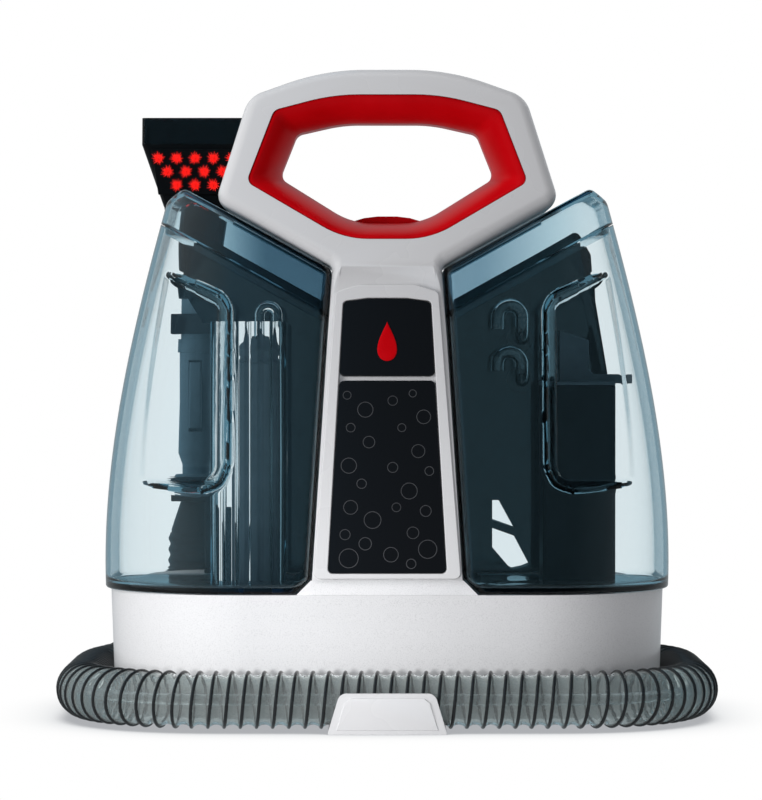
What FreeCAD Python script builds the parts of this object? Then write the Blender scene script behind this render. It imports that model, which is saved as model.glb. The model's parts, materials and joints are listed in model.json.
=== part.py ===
"""Portable spot extractor: two clear tanks on a white base, a carrying handle and a wrapped hose.

Millimetres. +Z is up, the front of the machine faces -Y, and the origin is on the floor under its middle.
The left side is -X. Driving sizes live in the sheet; every piece takes its sizes and places from there.
"""
import FreeCAD, Part

import math
import os
import re

import Sketcher
from FreeCAD import Placement, Rotation, Vector

doc = FreeCAD.newDocument("SpotExtractor")
sheet = doc.addObject("Spreadsheet::Sheet", "Sizes")

SIZES = {
    "general": {
        "play": 0.3,
        "slip_play": 0.4,
        "block_size": 900,
        "wall": 2.6,
    },
    "base": {
        "base_low_z": 3,
        "base_top_z": 72,
        "base_wall": 3,
        "base_half_width_low": 153.2,
        "base_half_depth_low": 94,
        "base_half_width_top": 156,
        "base_half_depth_top": 90,
        "base_corner": 78,
        "plate_thick": 3,
        "boss_round": 6,
        "boss_x": 112,
        "boss_y": 44,
        "foot_round": 10,
        "foot_x": 104,
        "foot_y": 60,
        "ridge_half_low": 49.6,
        "ridge_half_top": 41.6,
        "ridge_top_z": 80,
        "ridge_front": 88,
        "ridge_back": 87,
        "air_hole_round": 22,
    },
    "column": {
        "column_half_low": 41,
        "column_half_top": 30.4,
        "column_front_low": 90.6,
        "column_lean": 9.84,
        "neck_z": 252,
        "handle_lean": 18.2,
        "handle_edge_round": 7,
        "shoulder_half": 96,
        "shoulder_low_z": 251.4,
        "lid_slope": 29,
        "handle_side_z": 348.3,
        "handle_side_half": 78,
        "handle_top_z": 364,
        "handle_top_half": 35,
        "handle_top_round": 165,
        "handle_back_low": 42,
        "handle_back_lean": 9,
    },
    "grip": {
        "grip_top_z": 349.5,
        "grip_top_half": 30,
        "grip_corner_z": 340.5,
        "grip_corner_half": 63.5,
        "grip_side_z": 299.5,
        "grip_side_half": 78.5,
        "grip_low_z": 267.3,
        "grip_low_half": 24,
        "hole_top_z": 334.4,
        "hole_top_half": 25,
        "hole_corner_z": 328.5,
        "hole_corner_half": 51,
        "hole_side_z": 303.5,
        "hole_side_half": 61,
        "hole_low_z": 278,
        "hole_low_half": 20,
        "hole_land": 9,
        "grip_rim": 2.4,
        "grip_inset": 1,
    },
    "switch": {
        "switch_half": 18.6,
        "switch_deep": 8.5,
        "switch_low_z": 270.5,
        "switch_top_z": 281.8,
        "switch_crown": 2.6,
        "switch_body_low_z": 256,
        "switch_pin_round": 1.5,
        "switch_pin_z": 275,
        "switch_play": 0.8,
    },
    "panels": {
        "bezel_thick": 3.4,
        "bezel_top": 163.6,
        "bezel_half_top": 28.4,
        "bezel_half_low": 40.2,
        "bezel_corner": 7,
        "panel_thick": 2.4,
        "panel_top": 156,
        "panel_top_half": 24,
        "panel_split": 110.2,
        "panel_gap": 2.4,
        "panel_mid_half": 26.2,
        "panel_low": 3.8,
        "panel_low_half": 32.2,
        "panel_corner": 2.8,
    },
    "tanks": {
        "tank_gap": 0.6,
        "tank_bottom_z": 72.4,
        "tank_wall": 2.5,
        "tank_rear": 60,
        "tank_front_gap": 3,
        "tank_outer_a": 158.7,
        "tank_outer_b": 155,
        "tank_outer_c": 143.8,
        "tank_outer_d": 121.5,
        "tank_level_b": 150,
        "tank_level_c": 214,
        "tank_level_d": 302,
        "tank_round_low": 72,
        "tank_round_top": 44,
        "tank_rear_round_low": 36,
        "tank_rear_round_top": 24,
        "tank_inner_round": 5,
        "seam_z": 222.9,
        "lid_top_z": 251.9,
        "lid_peak_x": 114,
        "lid_end_slope": 31,
        "lip_deep": 4,
        "lid_ledge": 2,
        "recess_x": 87.5,
        "recess_top_z": 234,
        "recess_low_z": 127,
        "recess_turn_z": 146,
        "recess_deep": 13,
        "recess_draft": 8,
        "recess_round": 14,
    },
    "tank_parts": {
        "baffle_outer": 99.8,
        "baffle_inner": 57,
        "baffle_half_deep": 22,
        "baffle_top_z": 222,
        "baffle_wall": 1.8,
        "baffle_rib": 1.6,
        "baffle_ribs": 5,
        "filter_x": 72.7,
        "filter_round": 12.6,
        "filter_top_z": 200,
        "filter_neck_round": 6,
        "filter_neck_z": 209,
        "vent_round": 3,
        "vent_bend": 5,
        "vent_top_z": 226,
        "cap_round": 21,
        "cap_drop": 5,
        "outlet_round": 8,
        "valve_round": 5.4,
        "valve_stem_round": 2.4,
        "valve_head_tall": 1.2,
        "separator_inner": 87.8,
        "separator_outer": 128.8,
        "separator_half_deep": 24,
        "separator_top_z": 186,
        "separator_wall": 2,
        "guard_blade_outer": 114.6,
        "guard_blade_inner": 98,
        "guard_blade_top_z": 217,
        "guard_blade_low_z": 211.5,
        "guard_arm_end": 139.7,
        "guard_arm_top_z": 192.2,
        "guard_half_deep": 6,
        "float_round": 12,
        "float_height": 34,
        "float_rod_round": 2,
        "hook_round": 4,
        "hook_bend": 7,
        "hook_x": 78,
        "hook_high_z": 213,
        "hook_low_z": 189,
        "hook_rise": 12,
        "hook_y": 20,
    },
    "inner": {
        "motor_round": 29,
        "motor_low_z": 96,
        "motor_tall": 84,
        "motor_shaft_round": 4,
        "mount_round": 31,
        "fan_round": 25,
        "fan_tall": 13,
        "fan_case_round": 29.8,
        "fan_case_tall": 24,
        "fan_blades": 9,
        "socket_shift": 6,
        "socket_wall": 2,
        "pump_x": 90,
        "pump_y": 34,
        "pump_long": 44,
        "pump_tube_round": 3,
        "grille_x": 62,
        "grille_long": 46,
        "grille_z": 54,
        "grille_tall": 20,
        "grille_slots": 6,
        "gland_x": 22,
        "gland_z": 52,
        "gland_round": 7,
    },
    "rear": {
        "rear_depth": 88,
        "wing_front": 64,
        "wing_right": 130,
        "wing_right_waist_z": 193,
        "wing_right_arm": 123,
        "wing_top_half": 113,
        "wing_drop": 20.5,
        "wing_left": 118,
        "wing_left_low_z": 222,
        "wing_left_foot": 60,
        "strut_inner": 62,
        "strut_outer": 84,
        "strut_low_z": 76,
        "strut_top_z": 118,
        "strut_wide": 4.6,
        "rear_corner": 8,
        "hook_fix_z": 216,
        "hook_swivel_z": 132,
        "cord_hook_x": 30,
        "cord_hook_out": 26,
        "cord_hook_reach": 24,
        "cord_hook_round": 6.5,
        "cord_hook_thick": 6,
    },
    "hose": {
        "hose_z": 17,
        "hose_side_x": 169.4,
        "hose_front_y": 110,
        "hose_corner": 75,
        "hose_crest": 15.25,
        "hose_root": 13.5,
        "hose_bore": 11.8,
        "hose_pitch": 8.7,
        "hose_ramp": 1.3,
        "hose_crest_long": 2.2,
        "port_x": 10,
        "port_round": 12,
        "port_bend": 16,
        "port_end_x": 40,
        "cuff_long": 18,
        "solution_round": 3,
        "clip_half_low": 31.7,
        "clip_half_top": 25.2,
        "clip_corner": 5,
        "clip_pad": 0.35,
        "clip_tall": 22,
        "clip_thick": 3.4,
        "clip_floor": 1.4,
        "rear_clip_x": 82,
    },
    "wand": {
        "wand_x": 114,
        "wand_y": 104,
        "wand_low_z": 122,
        "wand_top_z": 237,
        "wand_half_wide": 10.6,
        "wand_half_deep": 14,
        "wand_waist": 8.2,
        "wand_waist_z": 138,
        "wand_grip_low_z": 145,
        "wand_lip_z": 205,
        "wand_lip_tall": 8,
        "wand_neck": 9.3,
        "wand_neck_deep": 12,
        "flange_half": 13,
        "flange_low_z": 122,
        "flange_top_z": 132,
        "wand_cuff_low_z": 97,
        "duct_round": 6.5,
        "duct_back": 3,
        "pin_round": 1.2,
        "pin_front": 9.5,
        "pin_z": 195,
        "spigot_round": 7,
        "spray_round": 3.2,
        "spigot_deep": 22,
        "trigger_top_z": 199,
        "trigger_low_z": 160,
        "trigger_half": 3.6,
        "trigger_out": 5,
        "neck_half": 11,
        "neck_half_deep": 12,
        "head_half": 32,
        "head_low_half": 19,
        "head_half_deep": 11,
        "head_low_z": 292,
        "head_full_z": 329,
        "head_top_z": 345,
        "nozzle_slot": 6,
        "window_thick": 2.5,
        "brush_low_z": 299,
        "brush_high_z": 326,
        "brush_half": 26,
        "brush_thick": 3,
        "tuft_pitch": 10.9,
        "tuft_row_pitch": 8,
        "tuft_round": 2.9,
        "tuft_long": 6,
        "tuft_top_z": 320.5,
        "button_z": 262,
        "button_half": 6,
        "button_tall": 16,
        "button_travel": 3,
        "holder_low_z": 216,
        "holder_high_z": 228,
        "rest_thick": 5,
        "rest_front": 70,
        "rest_leg": 22,
    },
    "screws": {
        "screw_round": 1.9,
        "screw_head_round": 3.6,
        "screw_head_tall": 2.2,
        "screw_long": 14,
    },
}

row = 1
for group, cells in SIZES.items():
    sheet.set(f"A{row}", group)
    for name, size in cells.items():
        row += 1
        sheet.set(f"A{row}", name)
        sheet.set(f"B{row}", str(size))
        sheet.setAlias(f"B{row}", name)
    row += 1
doc.recompute()

WORDS = {"sin", "cos", "tan", "sqrt", "abs", "min", "max", "atan"}
# Sizes that follow from the sheet's own, by name.
DERIVED = {
    "socket_x": "0 - filter_x - socket_shift",
    "socket_half_y": "cap_round + play * 3 + socket_wall",
    "socket_half_x": "socket_half_y + socket_shift",
    "column_rise": "neck_z - ridge_top_z",
    "neck_front": "column_front_low - column_rise * tan(column_lean)",
    "lid_drop": "tan(lid_slope)",
    "cuff_round": "hose_crest + 0.6",
    "shaft_z": "motor_low_z + motor_tall",
    "tank_floor": "tank_bottom_z + tank_wall",
    "cap_low_z": "tank_bottom_z - cap_drop",
    "socket_floor_z": "tank_bottom_z - cap_drop - play * 2",
    "fan_low_z": "motor_low_z + motor_tall + 4",
    "brush_y": "wand_y - head_half_deep - brush_thick",
}
subparts = {}


# Helpers that read the sheet and bind sizes to it.

def bound(text):
    """An expression in plain sheet names, written the way the document reads it."""
    def written(word):
        if word[0] in WORDS:
            return word[0]
        if word[0] in DERIVED:
            return "(" + bound(DERIVED[word[0]]) + ")"
        return "Sizes." + word[0]
    return re.sub(r"[a-z][a-z_]*", written, str(text))


def value(text):
    """The present number of an expression."""
    number = sheet.evalExpression(bound(text))
    return float(getattr(number, "Value", number))


def place(item, at=("0", "0", "0"), axis=None, angle=None):
    """Bind an object's place, and its turn about one axis in degrees, to the sheet."""
    if axis is not None:
        item.Placement = Placement(Vector(*map(value, at)), Rotation(Vector(*axis), value(angle)))
        item.setExpression("Placement.Rotation.Angle", bound(angle))
    for letter, text in zip("xyz", at):
        item.setExpression(f"Placement.Base.{letter}", bound(text))
    return item


def primitive(kind, name, at=("0", "0", "0"), axis=None, angle=None, **sizes):
    """A Part primitive whose sizes and place are bound to the sheet."""
    item = doc.addObject(f"Part::{kind}", name)
    for prop, text in sizes.items():
        item.setExpression(prop, bound(text))
    return place(item, at, axis, angle)


def box(name, low, size):
    """A box from its low corner and its three sizes."""
    return primitive("Box", name, low, Length=size[0], Width=size[1], Height=size[2])


def rod(name, at, radius, length, axis=None, angle=None):
    """A cylinder that stands on its base point."""
    return primitive("Cylinder", name, at, axis, angle, Radius=radius, Height=length)


def fuse(name, items):
    item = doc.addObject("Part::MultiFuse", name)
    item.Shapes = items
    item.Refine = True
    return item


def cut(name, base, tool):
    item = doc.addObject("Part::Cut", name)
    item.Base = base
    item.Tool = tool
    return item


def group_of(name, items):
    item = doc.addObject("Part::Compound", name)
    item.Links = items
    return item


def feature(name, shape):
    """A moulded form that the profile and primitive tools can't give."""
    item = doc.addObject("Part::Feature", name)
    item.Shape = shape
    return item


def keep(node, item):
    """Register a finished sub-part under its node name."""
    item.Label = node
    subparts[node] = item
    return item


def body_of(name):
    return doc.addObject("PartDesign::Body", name + "_body")


def origin_plane(body, role):
    return [item for item in body.Origin.OriginFeatures if item.Role == role][0]


def new_sketch(body, role, offset):
    sketch = body.newObject("Sketcher::SketchObject", f"{body.Name}_sketch")
    sketch.AttachmentSupport = (origin_plane(body, role), "")
    sketch.MapMode = "FlatFace"
    sketch.setExpression("AttachmentOffset.Base.z", bound(offset))
    return sketch


def drive(sketch, kind, geometry, vertex, text):
    """Bind one coordinate of a sketch point to an expression."""
    index = sketch.addConstraint(Sketcher.Constraint(kind, -1, 1, geometry, vertex, value(text)))
    sketch.setExpression(f"Constraints[{index}]", bound(text))


def outline(body, role, points, offset="0"):
    """A closed sketch of straight lines, each corner bound to its two expressions."""
    sketch = new_sketch(body, role, offset)
    spots = [Vector(value(x), value(y), 0) for x, y in points]
    count = len(spots)
    for index in range(count):
        sketch.addGeometry(Part.LineSegment(spots[index], spots[(index + 1) % count]), False)
    for index in range(count):
        sketch.addConstraint(Sketcher.Constraint("Coincident", index, 2, (index + 1) % count, 1))
    for index, (x, y) in enumerate(points):
        drive(sketch, "DistanceX", index, 1, x)
        drive(sketch, "DistanceY", index, 1, y)
    return sketch


def circles(body, role, spots, radius, offset="0"):
    """A sketch of equal circles at bound centres."""
    sketch = new_sketch(body, role, offset)
    for index, (x, y) in enumerate(spots):
        sketch.addGeometry(Part.Circle(Vector(value(x), value(y), 0), Vector(0, 0, 1), value(radius)), False)
        drive(sketch, "DistanceX", index, 3, x)
        drive(sketch, "DistanceY", index, 3, y)
        ring = sketch.addConstraint(Sketcher.Constraint("Radius", index, value(radius)))
        sketch.setExpression(f"Constraints[{ring}]", bound(radius))
    return sketch


def rounded_rectangle(body, role, half_x, half_y, radius, offset="0", at=("0", "0")):
    """A rounded rectangle: four lines and four tangent arcs, driven by its half sizes and one radius."""
    sketch = new_sketch(body, role, offset)
    wide, deep, turn = value(half_x), value(half_y), value(radius)
    middle_x, middle_y = value(at[0]), value(at[1])
    flat_x, flat_y = wide - turn, deep - turn
    lines = [
        ((-flat_x, -deep), (flat_x, -deep)), ((wide, -flat_y), (wide, flat_y)),
        ((flat_x, deep), (-flat_x, deep)), ((-wide, flat_y), (-wide, -flat_y)),
    ]
    for start, end in lines:
        first = Vector(start[0] + middle_x, start[1] + middle_y, 0)
        last = Vector(end[0] + middle_x, end[1] + middle_y, 0)
        sketch.addGeometry(Part.LineSegment(first, last), False)
    corners = [(flat_x, -flat_y, -90), (flat_x, flat_y, 0), (-flat_x, flat_y, 90), (-flat_x, -flat_y, 180)]
    for x, y, start in corners:
        circle = Part.Circle(Vector(x + middle_x, y + middle_y, 0), Vector(0, 0, 1), turn)
        sketch.addGeometry(Part.ArcOfCircle(circle, math.radians(start), math.radians(start + 90)), False)
    for index in range(4):
        sketch.addConstraint(Sketcher.Constraint("Tangent", index, 2, 4 + index, 1))
        sketch.addConstraint(Sketcher.Constraint("Tangent", 4 + index, 2, (index + 1) % 4, 1))
    for index in (0, 2):
        sketch.addConstraint(Sketcher.Constraint("Horizontal", index))
        sketch.addConstraint(Sketcher.Constraint("Vertical", index + 1))
    for index in (5, 6, 7):
        sketch.addConstraint(Sketcher.Constraint("Equal", 4, index))
    ring = sketch.addConstraint(Sketcher.Constraint("Radius", 4, turn))
    sketch.setExpression(f"Constraints[{ring}]", bound(radius))
    drive(sketch, "DistanceY", 0, 1, f"({at[1]}) - ({half_y})")
    drive(sketch, "DistanceX", 1, 1, f"({at[0]}) + ({half_x})")
    drive(sketch, "DistanceY", 2, 1, f"({at[1]}) + ({half_y})")
    drive(sketch, "DistanceX", 3, 1, f"({at[0]}) - ({half_x})")
    return sketch


def pad(body, sketch, length, back=False, midplane=False):
    item = body.newObject("PartDesign::Pad", f"{body.Name}_pad")
    item.Profile = sketch
    item.setExpression("Length", bound(length))
    item.Reversed = back
    item.Midplane = midplane
    sketch.Visibility = False
    return item


def pocket(body, sketch, length, forward=False, midplane=False):
    """Remove a profile; it cuts against its plane's normal, or along it when forward is set."""
    item = body.newObject("PartDesign::Pocket", f"{body.Name}_pocket")
    item.Profile = sketch
    item.setExpression("Length", bound(length))
    item.Reversed = forward
    item.Midplane = midplane
    return item


def loft(body, sketches, subtract=False):
    kind = "PartDesign::SubtractiveLoft" if subtract else "PartDesign::AdditiveLoft"
    item = body.newObject(kind, f"{body.Name}_loft")
    item.Profile = sketches[0]
    item.Sections = sketches[1:]
    return item


def turned(name, profile, at=("0", "0", "0"), axis=None, angle=None):
    """A turned piece: its half profile (radius, height) goes round the upright axis."""
    body = body_of(name)
    sketch = outline(body, "XZ_Plane", profile)
    item = body.newObject("PartDesign::Revolution", f"{body.Name}_turn")
    item.Profile = sketch
    item.ReferenceAxis = (sketch, ["V_Axis"])
    item.Angle = 360
    return place(body, at, axis, angle)


def round_edges(body, radius, wanted):
    """Fillet the edges of the body's last feature that the test function picks."""
    doc.recompute()
    last = body.Tip
    names = [f"Edge{index + 1}" for index, edge in enumerate(last.Shape.Edges) if wanted(edge)]
    item = body.newObject("PartDesign::Fillet", f"{body.Name}_fillet")
    item.Base = (last, names)
    item.setExpression("Radius", bound(radius))
    return item


def along(edge, direction):
    """Whether a straight edge runs along a direction."""
    if not isinstance(edge.Curve, Part.Line):
        return False
    return abs(abs(edge.Curve.Direction.dot(Vector(*direction))) - 1) < 1e-6


# Helpers for moulded forms. A corner's arc takes up to this share of the sides it joins, and a tube turns
# in steps of this many degrees.
CORNER_SHARE = 0.49
ARC_STEP = 15


def rounded_wire(corners):
    """A closed wire through corners, each a point and a radius, with its tangent arcs."""
    arcs = []
    for index, (spot, radius) in enumerate(corners):
        before = corners[index - 1][0] - spot
        after = corners[(index + 1) % len(corners)][0] - spot
        room = min(before.Length, after.Length) * CORNER_SHARE
        before.normalize()
        after.normalize()
        half = before.getAngle(after) / 2
        reach = min(radius / math.tan(half), room)
        radius = reach * math.tan(half)
        middle = (before + after).normalize()
        arcs.append((spot + before * reach, spot + middle * (radius / math.sin(half) - radius), spot + after * reach))
    edges = []
    for index, (start, middle, end) in enumerate(arcs):
        edges.append(Part.Arc(start, middle, end).toShape())
        following = arcs[(index + 1) % len(arcs)][0]
        if (following - end).Length > 1e-6:
            edges.append(Part.LineSegment(end, following).toShape())
    return Part.Wire(edges)


def mirrored_corners(half):
    """Corners of an outline that is the same on both sides of X = 0; half runs from low to high at +X."""
    right = [(Vector(value(x), 0, value(z)), value(radius)) for x, z, radius in half]
    left = [(Vector(-spot.x, 0, spot.z), radius) for spot, radius in reversed(right)]
    return right + left


def upright_prism(wire, front, back):
    """Extrude an XZ outline from one Y to another."""
    face = Part.Face(wire)
    face.translate(Vector(0, front, 0))
    return face.extrude(Vector(0, back - front, 0))


def half_space(point, normal):
    """A large block that fills the side of a plane that its normal points to."""
    size = value("block_size")
    block = Part.makeBox(size, size, size, Vector(-size / 2, -size / 2, 0))
    block.Placement = Placement(point, Rotation(Vector(0, 0, 1), normal))
    return block


def route(points, radii=None):
    """Straight runs joined by tangent arcs through hand-chosen points; it prints each arc's radius."""
    spots = [Vector(*point) for point in points]
    edges = []
    start = spots[0]
    chosen = []
    for index in range(1, len(spots) - 1):
        before = (spots[index - 1] - spots[index])
        after = (spots[index + 1] - spots[index])
        shorter = min(before.Length, after.Length)
        before.normalize()
        after.normalize()
        half = before.getAngle(after) / 2
        radius = radii[index - 1] if radii else 0.45 * shorter * math.tan(half)
        reach = radius / math.tan(half)
        middle = (before + after).normalize()
        first = spots[index] + before * reach
        last = spots[index] + after * reach
        if (first - start).Length > 1e-6:
            edges.append(Part.LineSegment(start, first).toShape())
        edges.append(Part.Arc(first, spots[index] + middle * (radius / math.sin(half) - radius), last).toShape())
        start = last
        chosen.append(round(radius, 1))
    if (spots[-1] - start).Length > 1e-6:
        edges.append(Part.LineSegment(start, spots[-1]).toShape())
    print("arc radii", chosen)
    return edges


def stations(edges, lengths):
    """The point and heading at each length along a route."""
    found = []
    spans = [(edge, edge.Length) for edge in edges]
    for length in lengths:
        left = length
        for edge, span in spans:
            if left <= span or edge is spans[-1][0]:
                along_edge = edge.getParameterByLength(min(left, span))
                found.append((edge.valueAt(along_edge), edge.tangentAt(along_edge)))
                break
            left -= span
    return found


def ruled_skin(edges, lengths, radii):
    """A solid ruled through circles that stand across a route at chosen lengths, on a steady X axis."""
    places = stations(edges, lengths)
    side = Vector(0, 0, 1) if abs(places[0][1].z) < CORNER_SHARE else Vector(1, 0, 0)
    rings = []
    for (spot, heading), radius in zip(places, radii):
        side = (side - heading * side.dot(heading)).normalize()
        ring = Part.makeCircle(radius)
        ring.Placement = Placement(spot, Rotation(side, heading.cross(side), heading, "ZXY"))
        rings.append(Part.Wire(ring))
    return Part.makeLoft(rings, True, True)


def even_lengths(edges):
    """Lengths along a route at its joints and at even steps round its arcs."""
    lengths, gone = [0], 0
    for edge in edges:
        straight = isinstance(edge.Curve, Part.Line)
        steps = 1 if straight else math.ceil(math.degrees(edge.Length / edge.Curve.Radius) / ARC_STEP)
        lengths += [gone + edge.Length * (step + 1) / steps for step in range(steps)]
        gone += edge.Length
    return lengths


def tube(edges, radius):
    """A round rod along a route."""
    lengths = even_lengths(edges)
    return ruled_skin(edges, lengths, [radius] * len(lengths))


def four(x, y):
    """The four corners of a rectangle round the middle, as sketch points."""
    return [(f"{left}{x}", f"{front}{y}") for left in ("-", "") for front in ("-", "")]


# The base: a deep moulded tray turned upside down, with a low ridge that the column stands on.

def base_shell():
    body = body_of("base_shell")
    low = rounded_rectangle(
        body, "XY_Plane", "base_half_width_low", "base_half_depth_low", "base_corner", "base_low_z")
    high = rounded_rectangle(
        body, "XY_Plane", "base_half_width_top", "base_half_depth_top", "base_corner", "base_top_z")
    loft(body, [low, high])
    ridge = [
        ("-ridge_half_low", "base_top_z - base_wall"), ("ridge_half_low", "base_top_z - base_wall"),
        ("ridge_half_low", "base_top_z"), ("ridge_half_top", "ridge_top_z"),
        ("-ridge_half_top", "ridge_top_z"), ("-ridge_half_low", "base_top_z"),
    ]
    pad(body, outline(body, "XZ_Plane", ridge, "ridge_front"), "ridge_front + ridge_back", back=True)
    inner = "base_corner - base_wall"
    low_inner = rounded_rectangle(
        body, "XY_Plane", "base_half_width_low - base_wall", "base_half_depth_low - base_wall", inner, "base_low_z")
    high_inner = rounded_rectangle(
        body, "XY_Plane", "base_half_width_top - base_wall", "base_half_depth_top - base_wall", inner,
        "base_top_z - base_wall")
    loft(body, [low_inner, high_inner], subtract=True)
    hollow = [
        ("base_wall - ridge_half_low", "base_top_z - base_wall * 2"),
        ("ridge_half_low - base_wall", "base_top_z - base_wall * 2"),
        ("ridge_half_low - base_wall", "base_top_z - base_wall"),
        ("ridge_half_top - base_wall", "ridge_top_z - base_wall"),
        ("base_wall - ridge_half_top", "ridge_top_z - base_wall"),
        ("base_wall - ridge_half_low", "base_top_z - base_wall"),
    ]
    sketch = outline(body, "XZ_Plane", hollow, "ridge_front - base_wall")
    pocket(body, sketch, "ridge_front + ridge_back - base_wall * 2")
    bosses = four("boss_x", "boss_y")
    pad(body, circles(body, "XY_Plane", bosses, "boss_round", "base_low_z + plate_thick"),
        "base_top_z - base_wall / 2 - base_low_z - plate_thick")
    pocket(body, circles(body, "XY_Plane", bosses, "screw_round + play / 2", "base_low_z + plate_thick"),
           "screw_long + 2", forward=True)
    pocket(body, circles(body, "XY_Plane", [("0", "0")], "air_hole_round", "ridge_top_z - base_wall * 2"),
           "base_wall * 3", forward=True)
    socket = rounded_rectangle(
        body, "XY_Plane", "socket_half_x + play", "socket_half_y + play", "socket_half_y + play - 0.1",
        "base_top_z - base_wall * 2", ("socket_x", "0"))
    pocket(body, socket, "base_wall * 3", forward=True)
    behind = "base_wall * 3 - base_half_depth_low"
    port = circles(body, "XZ_Plane", [("port_x", "hose_z")], "port_round + play", behind)
    pocket(body, port, "base_wall * 6")
    gland = circles(body, "XZ_Plane", [("-gland_x", "gland_z")], "gland_round + play", behind)
    pocket(body, gland, "base_wall * 6")
    window = [
        ("-grille_x - grille_long / 2", "grille_z - grille_tall / 2"),
        ("grille_long / 2 - grille_x", "grille_z - grille_tall / 2"),
        ("grille_long / 2 - grille_x", "grille_z + grille_tall / 2"),
        ("-grille_x - grille_long / 2", "grille_z + grille_tall / 2"),
    ]
    pocket(body, outline(body, "XZ_Plane", window, behind), "base_wall * 6")
    return keep("base_shell", body)


def bottom_plate():
    body = body_of("bottom_plate")
    inner = ["base_half_width_low - base_wall - slip_play", "base_half_depth_low - base_wall - slip_play"]
    pad(body, rounded_rectangle(body, "XY_Plane", *inner, "base_corner - base_wall - slip_play", "base_low_z"),
        "plate_thick")
    holes = circles(body, "XY_Plane", four("boss_x", "boss_y"), "screw_round + play / 2", "base_low_z")
    pocket(body, holes, "plate_thick", forward=True)
    return keep("bottom_plate", body)


def rubber_feet():
    feet = [rod("foot", (x, y, "0"), "foot_round", "base_low_z") for x, y in four("foot_x", "foot_y")]
    return keep("rubber_feet", group_of("foot_group", feet))


def screw(at, axis=None, angle=None):
    """A pan-head screw whose shank runs away from its head along the turned +Z."""
    head = rod("screw_head", at, "screw_head_round", "screw_head_tall", axis, angle)
    shank = rod("screw_shank", at, "screw_round", "screw_head_tall + screw_long", axis, angle)
    return fuse("screw", [head, shank])


def base_screws():
    screws = [screw((x, y, "base_low_z - screw_head_tall")) for x, y in four("boss_x", "boss_y")]
    return keep("base_screws", group_of("base_screw_group", screws))


def hose_clip(node, side, middle):
    """A clip that hooks under the base rim and stands up outside the hose; side is -1 for the front."""
    body = body_of(node)
    inner = "hose_front_y + hose_crest + 0.6"
    profile = [
        ("base_half_depth_low - 22", "0"), (f"{inner} + clip_thick", "0"),
        (f"{inner} + clip_thick - 0.8", "clip_tall"), (f"{inner}", "clip_tall"),
        (f"{inner} - 0.4", "clip_floor"), ("base_half_depth_low + 1", "clip_floor"),
        ("base_half_depth_low - 1", "base_low_z"), ("base_half_depth_low - 22", "base_low_z"),
    ]
    if side < 0:
        profile = [(f"0 - ({y})", z) for y, z in profile]
    pad(body, outline(body, "YZ_Plane", profile, middle), "clip_half_low * 2", midplane=True)
    outside = f"{inner} + clip_thick + 3"
    for sign in ("", "0 - "):
        edge = [
            (f"{middle} + ({sign}(clip_half_low + 5))", "clip_floor"),
            (f"{middle} + ({sign}clip_half_low)", "clip_floor"),
            (f"{middle} + ({sign}clip_half_top)", "clip_tall + 1"),
            (f"{middle} + ({sign}(clip_half_low + 5))", "clip_tall + 1"),
        ]
        face = outside if side < 0 else f"0 - ({inner} - 3)"
        pocket(body, outline(body, "XZ_Plane", edge, face), "clip_thick + 6")
    round_edges(body, "clip_corner", lambda edge: (
        along(edge, (0, 1, 0)) and edge.BoundBox.ZMin > value("clip_tall") - 0.1))
    raised = [
        (f"{middle} - (clip_half_low - 4.5)", "clip_floor + 1"),
        (f"{middle} + (clip_half_low - 4.5)", "clip_floor + 1"),
        (f"{middle} + (clip_half_top - 2.5)", "clip_tall - 5"),
        (f"{middle} + (clip_half_top - 5.5)", "clip_tall - 2.6"),
        (f"{middle} - (clip_half_top - 5.5)", "clip_tall - 2.6"),
        (f"{middle} - (clip_half_top - 2.5)", "clip_tall - 5"),
    ]
    face = f"{inner} + clip_thick / 2" if side < 0 else f"0 - ({inner} + clip_thick / 2)"
    pad(body, outline(body, "XZ_Plane", raised, face), "clip_thick / 2 + clip_pad", back=side > 0)
    return keep(node, body)


# The upper housing: column, neck and handle.

def column_plane(shift=0):
    """A point and the forward normal of the column's leaning front."""
    lean = math.radians(value("column_lean"))
    point = Vector(0, -value("column_front_low") + shift / math.cos(lean), value("ridge_top_z"))
    return point, Vector(0, -math.cos(lean), math.sin(lean))


def handle_plane(shift=0):
    """A point and the forward normal of the handle's front, which leans further back."""
    lean = math.radians(value("handle_lean"))
    point = Vector(0, -value("neck_front") + shift / math.cos(lean), value("neck_z"))
    return point, Vector(0, -math.cos(lean), math.sin(lean))


def handle_back_plane(shift=0):
    lean = math.radians(value("handle_back_lean"))
    point = Vector(0, value("handle_back_low") - shift / math.cos(lean), value("neck_z"))
    return point, Vector(0, math.cos(lean), math.sin(lean))


def plane_y(plane, z):
    """Where a leaning plane stands at a height."""
    point, normal = plane
    return point.y - (z - point.z) * normal.z / normal.y


def housing_outline():
    shoulder_tip_z = "shoulder_low_z + (shoulder_half - column_half_top) * lid_drop"
    return rounded_wire(mirrored_corners([
        ("column_half_low", "ridge_top_z", 0.5),
        ("column_half_top", "shoulder_low_z", 4),
        ("shoulder_half", shoulder_tip_z, value("handle_edge_round") + 2.5),
        ("handle_side_half", "handle_side_z", 16),
        ("handle_top_half", "handle_top_z", value("handle_top_round")),
    ]))


def grip_corners(inset=0):
    """The grip ring's outer outline, which is also the opening in the white handle."""
    return [
        (f"grip_low_half - {inset}", f"grip_low_z + {inset}", 50),
        (f"grip_side_half - {inset} * 1.2", f"grip_side_z", 5),
        (f"grip_corner_half - {inset} * 1.2", f"grip_corner_z - {inset} * 0.8", 6),
        (f"grip_top_half - {inset}", f"grip_top_z - {inset}", 110),
    ]


def hole_corners():
    return [
        ("hole_low_half", "hole_low_z", 40), ("hole_side_half", "hole_side_z", 6),
        ("hole_corner_half", "hole_corner_z", 6), ("hole_top_half", "hole_top_z", 80),
    ]


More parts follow.
